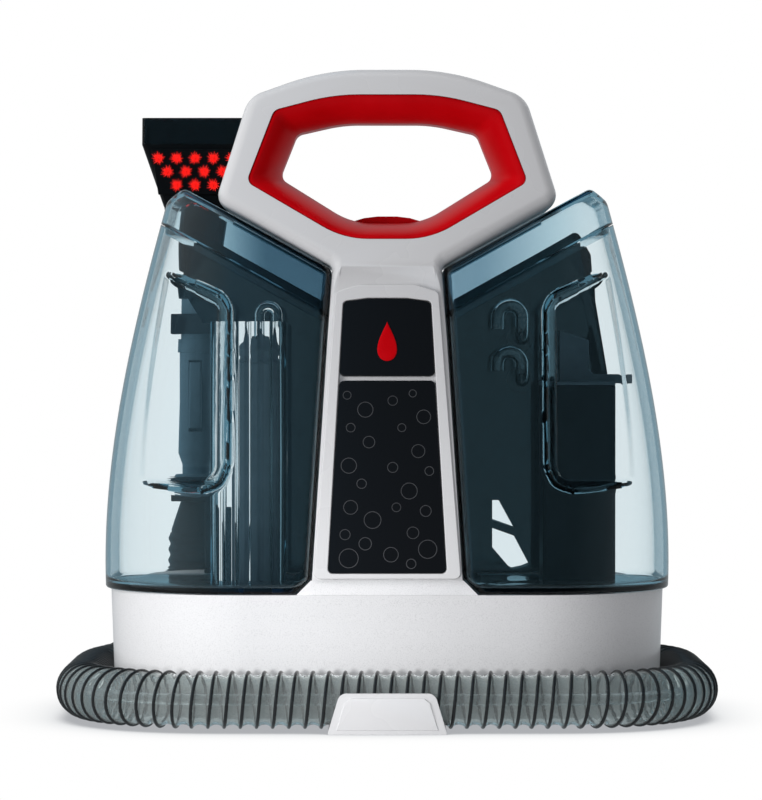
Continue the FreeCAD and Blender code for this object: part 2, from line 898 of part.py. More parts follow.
def leaning_wire(half, plane):
    """An outline laid on a leaning plane."""
    corners = []
    for x, z, radius in half:
        height = value(z)
        corners.append((Vector(value(x), plane_y(plane, height), height), radius))
    left = [(Vector(-spot.x, spot.y, spot.z), radius) for spot, radius in reversed(corners)]
    return rounded_wire(corners + left)


def front_edges(shape, plane, lowest):
    """Edges that bound a leaning face, above a height, apart from the crease across it."""
    point, normal = plane
    wanted = []
    for edge in shape.Edges:
        first, last = edge.FirstParameter, edge.LastParameter
        spots = [edge.valueAt(first + (last - first) * part / 4) for part in range(5)]
        on_plane = all(abs((spot - point).dot(normal)) < 0.01 for spot in spots)
        above = min(spot.z for spot in spots) > lowest
        if on_plane and above:
            wanted.append(edge)
    return wanted


def switch_room():
    """The slot through the grip's lower edge and the room below it that holds the switch."""
    half, deep = value("switch_half + switch_play"), value("switch_deep + switch_play")
    low = value("switch_body_low_z")
    slot = Part.makeBox(half * 2, deep * 2, value("switch_top_z") - low + 4, Vector(-half, -deep, low))
    return slot


def front_housing():
    """Centre column and front half of the handle, one moulded shell open at the back."""
    block = upright_prism(housing_outline(), -value("column_front_low") - 20, 0)
    block = block.cut(half_space(*column_plane())).cut(half_space(*handle_plane()))
    round_handle = [e for e in front_edges(block, handle_plane(), value("shoulder_low_z") - 1)]
    block = block.makeFillet(value("handle_edge_round"), round_handle)
    opening = upright_prism(rounded_wire(mirrored_corners(grip_corners())), -value("column_front_low") - 20, 10)
    block = block.cut(opening)
    wall = value("wall")
    inner = rounded_wire(mirrored_corners([
        ("column_half_low - wall", "ridge_top_z - 1", 0.5),
        ("column_half_top - wall", "neck_z - 8", 3),
    ]))
    hollow = upright_prism(inner, -value("column_front_low") - 20, 10).cut(half_space(*column_plane(wall)))
    block = block.cut(hollow).cut(switch_room())
    return keep("front_housing", feature("front_housing_solid", block))


def rear_handle():
    """Rear half of the handle and neck; it closes the front shell."""
    block = upright_prism(housing_outline(), 0, value("handle_back_low") + 20)
    low = half_space(Vector(0, 0, value("shoulder_low_z - 0.1")), Vector(0, 0, -1))
    block = block.cut(half_space(*handle_back_plane())).cut(low)
    rounded = front_edges(block, handle_back_plane(), value("shoulder_low_z") + 0.2)
    block = block.makeFillet(value("handle_edge_round"), rounded)
    opening = upright_prism(rounded_wire(mirrored_corners(grip_corners())), -10, value("handle_back_low") + 20)
    block = block.cut(opening).cut(switch_room())
    return keep("rear_handle", feature("rear_handle_solid", block))


def handle_grip():
    """Soft ring that lines the handle opening: a funnel from each face to a land in the middle."""
    play = value("play / 2")
    front, back = handle_plane(value("grip_inset")), handle_back_plane(value("grip_inset"))
    outer = rounded_wire(mirrored_corners(grip_corners(play)))
    ring = upright_prism(outer, -value("column_front_low"), value("handle_back_low") + 20)
    ring = ring.cut(half_space(*front)).cut(half_space(*back))
    land = value("hole_land")
    hole = upright_prism(rounded_wire(mirrored_corners(hole_corners())), -land, land)
    reach = 4
    for plane, sign in ((handle_plane(-reach), -1), (handle_back_plane(-reach), 1)):
        mouth = leaning_wire(grip_corners(value("grip_rim") - 1.2), plane)
        throat = rounded_wire(mirrored_corners(hole_corners()))
        throat.translate(Vector(0, sign * land, 0))
        funnel = Part.makeLoft([mouth, throat], True, True)
        ring = ring.cut(funnel)
    ring = ring.cut(hole).cut(switch_room())
    return keep("handle_grip", feature("handle_grip_solid", ring))


def power_switch():
    """Rocker in the grip's lower edge, crowned on top and bored for its pin."""
    body = body_of("power_switch")
    crown = [
        ("-switch_half", "switch_low_z"), ("switch_half", "switch_low_z"),
        ("switch_half", "switch_top_z - switch_crown"), ("switch_half * 0.7", "switch_top_z - switch_crown * 0.35"),
        ("switch_half * 0.3", "switch_top_z"), ("-switch_half * 0.3", "switch_top_z"),
        ("-switch_half * 0.7", "switch_top_z - switch_crown * 0.35"), ("-switch_half", "switch_top_z - switch_crown"),
    ]
    pad(body, outline(body, "XZ_Plane", crown), "switch_deep * 2", midplane=True)
    room = [
        ("-3.4", "switch_low_z"), ("3.4", "switch_low_z"),
        ("3.4", "switch_pin_z + 3.6"), ("-3.4", "switch_pin_z + 3.6"),
    ]
    pocket(body, outline(body, "YZ_Plane", room), "6", midplane=True)
    pocket(body, circles(body, "YZ_Plane", [("0", "switch_pin_z")], "switch_pin_round + 0.06"), "17", midplane=True)
    return keep("power_switch", body)


def switch_body():
    """Switch block under the rocker, with the post and the pin that the rocker swings on."""
    low, top = "switch_body_low_z", "switch_low_z"
    half, deep = "(switch_half + switch_play)", "(switch_deep + switch_play)"
    size = (f"{half} * 2", f"{deep} * 2", f"{top} - {low} - 3")
    block = box("switch_block", (f"0 - {half}", f"0 - {deep}", low), size)
    post = box("switch_post", ("-2.5", "-2.4", f"{low} + 2"), ("5", "4.8", f"switch_pin_z - {low}"))
    pin = rod("switch_pin", ("-8", "0", "switch_pin_z"), "switch_pin_round", "16", (0, 1, 0), "90")
    return keep("switch_body", fuse("switch_body_solid", [block, post, pin]))


# Front panels, laid on the column's leaning front.

def lean_back(body, forward="0"):
    """Stand a flat-fronted body on the column's front, moved forward off it."""
    rise = f"ridge_top_z + ({forward}) * sin(column_lean)"
    return place(body, ("0", f"0 - column_front_low - ({forward}) * cos(column_lean)", rise),
                 (1, 0, 0), "0 - column_lean")


def both_sides(half):
    """A sketch outline from its +X half, low to high."""
    return half + [(f"0 - ({x})", y) for x, y in reversed(half)]


def upper_panel_points(grow):
    return both_sides([
        (f"panel_mid_half + {grow}", f"panel_split + panel_gap - {grow}"),
        (f"panel_top_half + {grow}", f"panel_top - 1.8 + {grow}"), ("panel_top_half * 0.45", f"panel_top + {grow}"),
    ])


def panel(node, points):
    """A thin glossy plate with rounded upright corners."""
    body = body_of(node)
    pad(body, outline(body, "XZ_Plane", points), "panel_thick")
    round_edges(body, "panel_corner", lambda edge: along(edge, (0, 1, 0)))
    return keep(node, lean_back(body))


def upper_panel():
    return panel("upper_panel", upper_panel_points("0"))


def lower_panel():
    return panel("lower_panel", both_sides([
        ("panel_low_half", "panel_low"), ("panel_mid_half", "panel_split"),
    ]))


def panel_bezel():
    """White frame round both panels, standing proud of the column."""
    body = body_of("panel_bezel")
    frame = both_sides([
        ("bezel_half_low", "0.6"), ("bezel_half_top", "bezel_top - 4"), ("bezel_half_top * 0.55", "bezel_top"),
    ])
    pad(body, outline(body, "XZ_Plane", frame), "bezel_thick")
    round_edges(body, "bezel_corner / 2", lambda edge: along(edge, (0, 1, 0)))
    window = both_sides([
        ("panel_low_half + play", "panel_low - play"), ("panel_mid_half + play", "panel_split + panel_gap / 2"),
        ("panel_top_half + play", "panel_top - 1.8 + play"), ("panel_top_half * 0.45", "panel_top + play"),
    ])
    pocket(body, outline(body, "XZ_Plane", window), "bezel_thick", forward=True)
    low, high = value("panel_low"), value("panel_top - 4")
    half = value("panel_low_half + 1")
    round_edges(body, "panel_corner", lambda edge: (
        along(edge, (0, 1, 0)) and abs(edge.BoundBox.Center.x) < half
        and abs(edge.BoundBox.Center.z - low) < 1) or (
        along(edge, (0, 1, 0)) and abs(abs(edge.BoundBox.Center.x) - value("panel_top_half + play")) < 0.1
        and edge.BoundBox.Center.z > high))
    return keep("panel_bezel", lean_back(body))


# The tanks: a left-hand form, mirrored for the right.

def column_side(z):
    """Half width of the column at a height."""
    low, top = value("column_half_low"), value("column_half_top")
    part = (z - value("ridge_top_z")) / (value("shoulder_low_z") - value("ridge_top_z"))
    return low + (top - low) * part


def tank_section(level, outer, inset):
    """One plan section of the left tank at a height, moved inwards by an inset."""
    low, high = value("tank_bottom_z"), value("tank_level_d")
    part = (level - low) / (high - low)
    front_round = value("tank_round_low") * (1 - part) + value("tank_round_top") * part - inset
    rear_round = value("tank_rear_round_low") * (1 - part) + value("tank_rear_round_top") * part - inset
    inner_round = max(value("tank_inner_round") - inset, 1)
    front = plane_y(column_plane(value("tank_front_gap")), level) + inset
    rear = value("tank_rear") - inset
    inner = -column_side(level) - value("tank_gap") - inset
    outer = -outer + inset
    return rounded_wire([
        (Vector(outer, front, level), front_round), (Vector(inner, front, level), inner_round),
        (Vector(inner, rear, level), inner_round), (Vector(outer, rear, level), rear_round),
    ])


def tank_loft(inset=0):
    """The tank's whole outer form, or the same form set in by a wall."""
    levels = [("tank_bottom_z", "tank_outer_a"), ("tank_level_b", "tank_outer_b"),
              ("tank_level_c", "tank_outer_c"), ("tank_level_d", "tank_outer_d")]
    sections = [tank_section(value(level), value(outer), inset) for level, outer in levels]
    return Part.makeLoft(sections, True, False)


def slope_normal():
    """Upward normal of the lid's slope on the left tank, which rises outwards."""
    lean = math.radians(value("lid_slope"))
    return Vector(math.sin(lean), 0, math.cos(lean))


def below_seam(shape, shift=0):
    normal = slope_normal()
    point = Vector(-value("column_half_top"), 0, value("seam_z")) + normal * shift
    return shape.cut(half_space(point, normal))


def above_seam(shape, shift=0):
    normal = slope_normal()
    point = Vector(-value("column_half_top"), 0, value("seam_z")) + normal * shift
    return shape.cut(half_space(point, normal * -1))


def below_lid_top(shape, inset=0):
    """Cut by the lid's sloping top and by the bevel at its outer end."""
    normal = slope_normal()
    top = Vector(-value("column_half_top") - 3, 0, value("lid_top_z"))
    shape = shape.cut(half_space(top - normal * inset, normal))
    peak_x = value("lid_peak_x")
    rise = math.tan(math.radians(value("lid_slope")))
    peak = Vector(-peak_x, 0, top.z + (peak_x - value("column_half_top") - 3) * rise)
    fall = math.radians(value("lid_end_slope"))
    normal_end = Vector(-math.sin(fall), 0, math.cos(fall))
    return shape.cut(half_space(peak - normal_end * inset, normal_end))


def foot_bevel(inset=0):
    """The block cut off the tank's inner bottom corner, where the base ridge flares out."""
    flare = Vector(value("ridge_half_low") - value("ridge_half_top"), 0, value("ridge_top_z") - value("base_top_z"))
    normal = Vector(flare.z, 0, -flare.x).normalize()
    point = Vector(-value("ridge_half_low + tank_gap"), 0, value("base_top_z"))
    return half_space(point - normal * inset, normal)


def recess_outline(shift, inset):
    """The finger recess's outline on a plane behind the column's front, drawn in by an inset."""
    plane = column_plane(shift)
    slope = math.tan(math.radians(value("lid_slope")))
    inner, far = value("recess_x") + inset, value("tank_outer_a") + 30
    top, low = value("recess_top_z") - inset, value("recess_low_z") + inset
    turn, radius = value("recess_turn_z") + inset / 2, value("recess_round")
    spots = [(-inner, top, radius / 2), (-far, top + (far - inner) * slope, 5), (-far, low, 5),
             (-inner - (turn - low), low, radius), (-inner, turn, radius)]
    return rounded_wire([(Vector(x, plane_y(plane, z), z), turn_round) for x, z, turn_round in spots])


def recess_scoop(grow=0):
    """The recess as a solid: its sides draw in from the tank's face to its flat floor."""
    deep, face = value("recess_deep") + grow, value("tank_front_gap")
    draft = value("recess_draft") / value("recess_deep")
    mouth = -value("recess_deep") / 2
    return Part.makeLoft([
        recess_outline(face + mouth, mouth * draft - grow), recess_outline(face + deep, deep * draft - grow),
    ], True, True)


def tank_shell():
    wall = value("tank_wall")
    outer = below_seam(tank_loft()).cut(foot_bevel())
    cavity = tank_loft(wall).cut(foot_bevel(wall))
    cavity = cavity.cut(half_space(Vector(0, 0, value("tank_bottom_z") + wall), Vector(0, 0, -1)))
    return outer.cut(cavity.cut(recess_scoop(wall))).cut(recess_scoop())


def lid_shell():
    """Lid over the seam: hollow, with a ledge on the seam and a lip that drops into the tank."""
    wall, play, ledge = value("tank_wall"), value("play"), value("lid_ledge")
    outer = below_lid_top(above_seam(tank_loft()))
    deep_inside = tank_loft(wall * 2)
    hollow = below_lid_top(above_seam(tank_loft(wall), ledge), wall)
    lip = above_seam(below_seam(tank_loft(wall + play), ledge / 2), -value("lip_deep"))
    shell = outer.cut(hollow).cut(below_seam(deep_inside, ledge + 1))
    return shell.fuse(lip.cut(deep_inside))


def mirror_x(shape):
    return shape.mirror(Vector(0, 0, 0), Vector(1, 0, 0))


def drilled(shape, spot, direction, radius, depth):
    return shape.cut(Part.makeCylinder(radius, depth, spot, direction))


def tanks():
    shell = tank_shell()
    lid = lid_shell()
    low = Vector(-value("filter_x"), 0, value("tank_bottom_z") - 1)
    clean = drilled(shell, low, Vector(0, 0, 1), value("outlet_round + play"), value("tank_wall") + 2)
    keep("clean_tank", feature("clean_tank_solid", clean))
    keep("clean_tank_lid", feature("clean_tank_lid_solid", lid))
    dirty = mirror_x(shell)
    for height in ("hook_high_z", "hook_low_z"):
        spot = Vector(value("hook_x"), value("tank_rear") + 1, value(height))
        dirty = drilled(dirty, spot, Vector(0, -1, 0), value("hook_round + play / 10"), value("tank_wall") + 2)
    keep("dirty_tank", feature("dirty_tank_solid", dirty))
    keep("dirty_tank_lid", feature("dirty_tank_lid_solid", mirror_x(lid)))


# Pieces in the clean-water tank.

def tank_baffle():
    """Ribbed channel moulded in the clean tank, open at the back."""
    body = body_of("tank_baffle")
    outer, inner, deep = "0 - baffle_outer", "0 - baffle_inner", "0 - baffle_half_deep"
    points = [(inner, "baffle_half_deep"), (f"{inner} - baffle_wall", "baffle_half_deep"),
              (f"{inner} - baffle_wall", f"{deep} + baffle_wall"),
              (f"{outer} + baffle_wall", f"{deep} + baffle_wall"),
              (f"{outer} + baffle_wall", "baffle_half_deep"), (outer, "baffle_half_deep"), (outer, deep)]
    count = int(value("baffle_ribs"))
    for index in range(count):
        middle = f"{outer} + (baffle_outer - baffle_inner) * {index + 1} / {count + 1}"
        points += [(f"{middle} - baffle_rib / 2", deep), (f"{middle} - baffle_rib / 2", f"{deep} - baffle_rib"),
                   (f"{middle} + baffle_rib / 2", f"{deep} - baffle_rib"), (f"{middle} + baffle_rib / 2", deep)]
    points.append((inner, deep))
    pad(body, outline(body, "XY_Plane", points, "tank_floor"), "baffle_top_z - tank_floor")
    return keep("tank_baffle", body)


def pickup_filter():
    """Tall filter column over the outlet; a ledge inside it stands over the valve."""
    ledge = "tank_floor + 11"
    profile = [
        ("outlet_round - 2", "tank_floor"), ("filter_round", "tank_floor"), ("filter_round", "filter_top_z - 3"),
        ("filter_round - 1.4", "filter_top_z - 3"), ("filter_round - 1.4", "filter_top_z"),
        ("filter_round", "filter_top_z"), ("filter_round", "filter_top_z + 4"),
        ("filter_neck_round", "filter_neck_z"), ("vent_round - 1", "filter_neck_z"),
        ("vent_round - 1", "filter_top_z - 2"), ("outlet_round - 2", "filter_top_z - 6"),
        ("outlet_round - 2", f"{ledge} + 1.5"), ("valve_stem_round + 0.5", f"{ledge} + 1.5"),
        ("valve_stem_round + 0.5", ledge), ("outlet_round - 2", ledge),
    ]
    return keep("pickup_filter", turned("pickup_filter", profile, ("0 - filter_x", "0", "0")))


def vent_tube():
    """Small tube that rises from the filter neck and turns over."""
    x, low, top, bend = -value("filter_x"), value("filter_neck_z"), value("vent_top_z"), value("vent_bend")
    points = [(x, 0, low), (x, 0, top + bend), (x + bend * 2, 0, top + bend), (x + bend * 2, 0, low + 6)]
    edges = route(points, [bend - 0.02, bend - 0.02])
    shape = tube(edges, value("vent_round")).cut(tube(edges, value("vent_round - 1")))
    return keep("vent_tube", feature("vent_tube_solid", shape))


def tank_cap():
    """Screw cap under the clean tank; its throat holds the outlet valve."""
    profile = [
        ("valve_round + play", "cap_low_z"), ("cap_round - 1", "cap_low_z"), ("cap_round", "cap_low_z + 1"),
        ("cap_round", "tank_bottom_z"), ("outlet_round", "tank_bottom_z"), ("outlet_round", "tank_floor"),
        ("outlet_round - 1.6", "tank_floor"), ("outlet_round - 1.6", "cap_low_z + 5.5"),
        ("valve_round - 1.6", "cap_low_z + 5.5"), ("valve_round - 1.6", "cap_low_z + 4"),
        ("valve_round + play", "cap_low_z + 4"),
    ]
    return keep("tank_cap", turned("tank_cap", profile, ("0 - filter_x", "0", "0")))


def outlet_valve():
    """Poppet in the cap: a pusher below, a sealing disc on the seat and a stem up into the filter."""
    seat = "cap_low_z + 5.52"
    profile = [
        ("0", "cap_low_z"), ("valve_round - play", "cap_low_z"), ("valve_round - play", "cap_low_z + 0.8"),
        ("valve_stem_round", "cap_low_z + 0.8"), ("valve_stem_round", seat), ("valve_round + 0.2", seat),
        ("valve_round + 0.2", f"{seat} + valve_head_tall"), ("valve_stem_round", f"{seat} + valve_head_tall"),
        ("valve_stem_round", "cap_low_z + 22"), ("0", "cap_low_z + 22"),
    ]
    return keep("outlet_valve", turned("outlet_valve", profile, ("0 - filter_x", "0", "0")))


# Pieces in the dirty-water tank.

def separator_box():
    """Tall box in the dirty tank that slows the water and holds the float; open at the top."""
    body = body_of("separator_box")
    middle = "(separator_inner + separator_outer) / 2"
    half = "(separator_outer - separator_inner) / 2"
    pad(body, rounded_rectangle(body, "XY_Plane", half, "separator_half_deep", "3", "tank_floor", (middle, "0")),
        "separator_top_z - tank_floor")
    inner = rounded_rectangle(
        body, "XY_Plane", f"{half} - separator_wall", "separator_half_deep - separator_wall", "1.5",
        "tank_floor + separator_wall", (middle, "0"))
    pocket(body, inner, "separator_top_z", forward=True)
    slot = [(f"{middle} - 5", "tank_floor + 6"), (f"{middle} + 5", "tank_floor + 6"),
            (f"{middle} + 5", "tank_floor + 26"), (f"{middle} - 5", "tank_floor + 26")]
    pocket(body, outline(body, "XZ_Plane", slot, "0 - separator_half_deep - 1"), "separator_wall + 2", forward=True)
    return keep("separator_box", body)


def splash_guard():
    """Blade and arm over the separator, with a plate that closes the box."""
    body = body_of("splash_guard")
    plate = rounded_rectangle(
        body, "XY_Plane", "(separator_outer - separator_inner) / 2", "separator_half_deep", "3", "separator_top_z",
        ("(separator_inner + separator_outer) / 2", "0"))
    pad(body, plate, "separator_wall")
    blade = [
        ("guard_blade_inner", "separator_top_z + 1"), ("guard_arm_end", "separator_top_z + 1"),
        ("guard_arm_end", "guard_arm_top_z"), ("guard_blade_outer + 3", "guard_arm_top_z"),
        ("guard_blade_outer", "guard_arm_top_z + 3"), ("guard_blade_outer", "guard_blade_low_z"),
        ("guard_blade_inner", "guard_blade_top_z"),
    ]
    pad(body, outline(body, "XZ_Plane", blade), "guard_half_deep * 2", midplane=True)
    return keep("splash_guard", body)


def tank_float():
    """Hollow-looking float that rises on its rod."""
    middle = "(separator_inner + separator_outer) / 2"
    profile = [
        ("float_rod_round + 0.6", "0"), ("float_round - 3", "0"), ("float_round", "4"),
        ("float_round", "float_height - 4"), ("float_round - 3", "float_height"),
        ("float_rod_round + 0.6", "float_height"),
    ]
    return keep("tank_float", turned("tank_float", profile, (middle, "0", "tank_floor + separator_wall + play")))


def float_rod():
    middle = "(separator_inner + separator_outer) / 2"
    item = rod("float_rod", (middle, "0", "tank_floor + separator_wall"), "float_rod_round",
               "separator_top_z - tank_floor - separator_wall")
    return keep("float_rod", item)


def elbow(node, height, rise):
    """Hooked air tube from a port in the dirty tank's back wall."""
    x, y, z = value("hook_x"), value("hook_y"), value(height)
    bend, radius = value("hook_bend"), value("hook_round")
    top = z + value(rise) + bend
    points = [(x, value("tank_rear"), z), (x, y, z), (x, y, top), (x - bend * 2, y, top), (x - bend * 2, y, z + 5)]
    edges = route(points, [bend - 0.02] * 3)
    return keep(node, feature(node + "_solid", tube(edges, radius).cut(tube(edges, radius - 1.2))))


# Motor, fan and pump inside.

def vacuum_motor():
    profile = [
        ("0", "motor_low_z"), ("motor_round - 6", "motor_low_z"), ("motor_round", "motor_low_z + 6"),
        ("motor_round", "shaft_z - 8"), ("motor_round - 5", "shaft_z"), ("motor_shaft_round + 0.08", "shaft_z"),
        ("motor_shaft_round + 0.08", "shaft_z - 16"), ("0", "shaft_z - 16"),
    ]
    return keep("vacuum_motor", turned("vacuum_motor", profile))


def motor_mount():
    profile = [
        ("air_hole_round + 2", "ridge_top_z"), ("mount_round", "ridge_top_z"), ("mount_round", "motor_low_z + 10"),
        ("motor_round", "motor_low_z + 10"), ("motor_round", "motor_low_z + 6"), ("motor_round - 6", "motor_low_z"),
        ("air_hole_round + 2", "motor_low_z - 4"),
    ]
    return keep("motor_mount", turned("motor_mount", profile))


def fan_impeller():
    """Impeller and its shaft: a hub, a back disc and straight blades."""
    body = body_of("fan_impeller")
    profile = [
        ("0", "shaft_z - 15.7"), ("motor_shaft_round", "shaft_z - 15.7"), ("motor_shaft_round", "fan_low_z"),
        ("fan_round", "fan_low_z"), ("fan_round", "fan_low_z + 1.6"), ("motor_shaft_round + 3", "fan_low_z + 1.6"),
        ("motor_shaft_round + 1", "fan_low_z + fan_tall"), ("0", "fan_low_z + fan_tall"),
    ]
    sketch = outline(body, "XZ_Plane", profile)
    item = body.newObject("PartDesign::Revolution", "fan_turn")
    item.Profile = sketch
    item.ReferenceAxis = (sketch, ["V_Axis"])
    item.Angle = 360
    blade = [
        ("motor_shaft_round", "-0.7"), ("fan_round - 1", "-0.7"),
        ("fan_round - 1", "0.7"), ("motor_shaft_round", "0.7"),
    ]
    first = pad(body, outline(body, "XY_Plane", blade, "fan_low_z + 0.8"), "fan_tall - 3")
    doc.recompute()
    pattern = body.newObject("PartDesign::PolarPattern", "blade_pattern")
    pattern.Originals = [first]
    pattern.Axis = ([part for part in body.Origin.OriginFeatures if part.Role == "Z_Axis"][0], [""])
    pattern.Angle = 360
    pattern.setExpression("Occurrences", bound("fan_blades"))
    body.Tip = pattern
    return keep("fan_impeller", body)


def fan_case():
    """Pot round the fan that stands on the motor's shoulder."""
    profile = [
        ("motor_round - 5", "shaft_z"), ("motor_round", "shaft_z - 8"), ("fan_case_round", "shaft_z - 8"),
        ("fan_case_round", "shaft_z + fan_case_tall"), ("fan_round / 2", "shaft_z + fan_case_tall"),
        ("fan_round / 2", "shaft_z + fan_case_tall - 2"), ("fan_case_round - 2", "shaft_z + fan_case_tall - 2"),
        ("fan_case_round - 2", "shaft_z + 1"), ("motor_round - 5", "shaft_z + 1"),
    ]
    return keep("fan_case", turned("fan_case", profile))


def tank_socket():
    """Slotted cup in the base top that takes the tank's cap and its water."""
    body = body_of("tank_socket")
    low = "socket_floor_z - socket_wall"
    pad(body, rounded_rectangle(body, "XY_Plane", "socket_half_x", "socket_half_y", "socket_half_y - 0.1", low,
                                ("socket_x", "0")), f"base_top_z - ({low})")
    pad(body, rounded_rectangle(body, "XY_Plane", "socket_half_x + 3", "socket_half_y + 3", "socket_half_y + 2.9",
                                low, ("socket_x", "0")), f"base_top_z - base_wall - ({low})")
    pocket(body, rounded_rectangle(body, "XY_Plane", "socket_half_x - socket_wall", "socket_half_y - socket_wall",
                                   "socket_half_y - socket_wall - 0.1", "socket_floor_z", ("socket_x", "0")),
           "base_wall * 4", forward=True)
    pad(body, circles(body, "XY_Plane", [("0 - filter_x", "0")], "6", low), "8", back=True)
    bore = circles(
        body, "XY_Plane", [("0 - filter_x", "0")], "pump_tube_round + play / 2", "socket_floor_z + 1")
    pocket(body, bore, "16")
    return keep("tank_socket", body)


def pump():
    """Small diaphragm pump: motor can, gearbox and head, standing on the bottom plate."""
    floor = "base_low_z + plate_thick"
    block = box("pump_block", ("0 - pump_x - 12", "pump_y - 12", floor), ("24", "24", "34"))
    can = rod("pump_can", ("0 - pump_x + 12", "pump_y", f"{floor} + 14"), "12", "pump_long - 14", (0, 1, 0), "90")
    saddle = box("pump_saddle", ("0 - pump_x + 16", "pump_y - 7", floor), ("18", "14", "8"))
    nozzle = rod("pump_nozzle", ("0 - pump_x", "pump_y", f"{floor} + 30"), "pump_tube_round", "10")
    return keep("pump", fuse("pump_solid", [block, can, saddle, nozzle]))


def pump_tubes():
    """Soft tubes from the tank socket to the pump and from the pump to the hose port."""
    x, floor = -value("filter_x"), value("base_low_z + plate_thick")
    low = value("socket_floor_z - socket_wall") - 8
    radius = value("pump_tube_round")
    pump_x, pump_front = -value("pump_x"), value("pump_y") - 12
    feed = route([
        (x, 0, low), (x, 0, low - 14), (pump_x + 4, 0, floor + 20), (pump_x, pump_front - 14, floor + 18),
        (pump_x, pump_front, floor + 18),
    ])
    top = floor + 40
    out = route([
        (-value("pump_x"), value("pump_y"), top), (-value("pump_x"), value("pump_y"), top + 14),
        (-value("pump_x") + 22, value("pump_y") + 16, top + 14), (-40, 60, top - 10),
        (value("port_x") - 14, 44, value("hose_z") + 4), (value("port_x"), 52, value("hose_z")),
        (value("port_x"), 74, value("hose_z")),
    ])
    return keep("pump_tubes", group_of("tube_group", [
        feature("feed_tube", tube(feed, radius)), feature("out_tube", tube(out, radius))]))


# Rear housing and what it carries.

def rear_housing():
    """Dark back: the spine behind the column, a full wing on the right and a raised arm on the left."""
    body = body_of("rear_housing")
    spine = both_sides([("column_half_low", "ridge_top_z + play / 3"), ("column_half_top", "shoulder_low_z - 0.1")])
    wing_top = "(shoulder_low_z - wing_drop + (wing_top_half - column_half_top) * lid_drop)"
    pad(body, outline(body, "XZ_Plane", spine, "0 - 0"), "rear_depth", back=True)
    rise = "(ridge_half_low - ridge_half_top)"
    left_top = "(shoulder_low_z - wing_drop + (wing_left - column_half_top) * lid_drop)"
    wings = [
        ("ridge_half_top + play", "ridge_top_z + play"), (f"ridge_half_top + play + {rise}", "base_top_z + play"),
        ("wing_right - 6", "base_top_z + play"), ("wing_right", "base_top_z + 60"),
        ("wing_right", "wing_right_waist_z"),
        ("wing_right_arm", "wing_right_waist_z + 42"), ("wing_right_arm - 1", f"{wing_top} - 14"),
        ("wing_top_half", wing_top), ("column_half_top", "shoulder_low_z - wing_drop"),
        ("0 - column_half_top", "shoulder_low_z - wing_drop"), ("0 - wing_left", left_top),
        ("0 - wing_left", "wing_left_low_z + 16"), ("10 - wing_left", "wing_left_low_z"),
        ("0 - wing_left_foot", "wing_left_low_z"), ("0 - wing_left_foot", "base_top_z + play"),
        (f"0 - ridge_half_top - play - {rise}", "base_top_z + play"),
        ("0 - ridge_half_top - play", "ridge_top_z + play"),
    ]
    pad(body, outline(body, "XZ_Plane", wings, "0 - wing_front"), "rear_depth - wing_front", back=True)
    strut_z = "(strut_low_z + strut_top_z) / 2"
    above = [
        ("strut_inner", f"{strut_z} + strut_wide * 2"), ("strut_outer - 9", f"{strut_z} + strut_wide"),
        ("strut_inner + 4", "strut_top_z"), ("strut_inner", "strut_top_z"),
    ]
    below = [
        ("strut_inner", "strut_low_z + 14"), ("strut_outer - 10", "strut_low_z"), ("strut_outer", "strut_low_z + 4"),
        ("strut_outer - 9", strut_z), ("strut_inner", f"{strut_z} + strut_wide"),
    ]
    for gap in (above, below):
        pocket(body, outline(body, "XZ_Plane", gap, "1 - wing_front"), "rear_depth")
    round_edges(body, "rear_corner / 2", lambda edge: (
        along(edge, (0, 0, 1)) and edge.BoundBox.YMin > value("rear_depth") - 0.1) or (
        along(edge, (0, 1, 0)) and edge.BoundBox.ZMin > value(f"{wing_top} - 20")))
    hollow = both_sides([
        ("column_half_low - wall", "ridge_top_z + play / 3"), ("column_half_top - wall", "neck_z - 8")])
    pocket(body, outline(body, "XZ_Plane", hollow, "1"), "rear_depth - wall + 1")
    return keep("rear_housing", body)


def port_gaskets():
    """Soft rings between the dirty tank's ports and the rear housing."""
    rings = []
    for height in ("hook_high_z", "hook_low_z"):
        at = ("hook_x", "wing_front", height)
        outer = rod("gasket_outer", at, "hook_round + 3.5", "wing_front - tank_rear - play", (1, 0, 0), "90")
        bore = rod("gasket_bore", at, "hook_round", "wing_front - tank_rear", (1, 0, 0), "90")
        rings.append(cut("gasket", outer, bore))
    return keep("port_gaskets", group_of("gasket_group", rings))


def cord_hook(node, height, tilt):
    """Cord-wrap hook: a round post from the housing and a paddle at its end, turned up or down by its tilt."""
    body = body_of(node)
    post = circles(body, "XZ_Plane", [("0", "0")], "cord_hook_round")
    pad(body, post, "cord_hook_out", back=True)
    paddle = [
        ("cord_hook_round", "0"), ("cord_hook_round", "cord_hook_reach - 3"),
        ("cord_hook_round - 3", "cord_hook_reach"),
        ("3 - cord_hook_round", "cord_hook_reach"), ("0 - cord_hook_round", "cord_hook_reach - 3"),
        ("0 - cord_hook_round", "0"),
    ]
    pad(body, outline(body, "XZ_Plane", paddle, "cord_hook_thick - cord_hook_out"), "cord_hook_thick", back=True)
    return keep(node, place(body, ("0 - cord_hook_x", "rear_depth + play", height), (0, 1, 0), tilt))


def cord_gland():
    """Flanged sleeve in the base's back wall where the supply cord would enter."""
    profile = [
        ("3.4", "0"), ("gland_round", "0"), ("gland_round", "base_wall + 3"), ("gland_round + 3", "base_wall + 3"),
        ("gland_round + 3", "base_wall + 5"), ("gland_round - 1", "base_wall + 12"), ("3.4", "base_wall + 12"),
    ]
    at = ("0 - gland_x", "base_half_depth_low - base_wall - 4.4", "gland_z")
    return keep("cord_gland", turned("cord_gland", profile, at, (1, 0, 0), "0 - 90"))


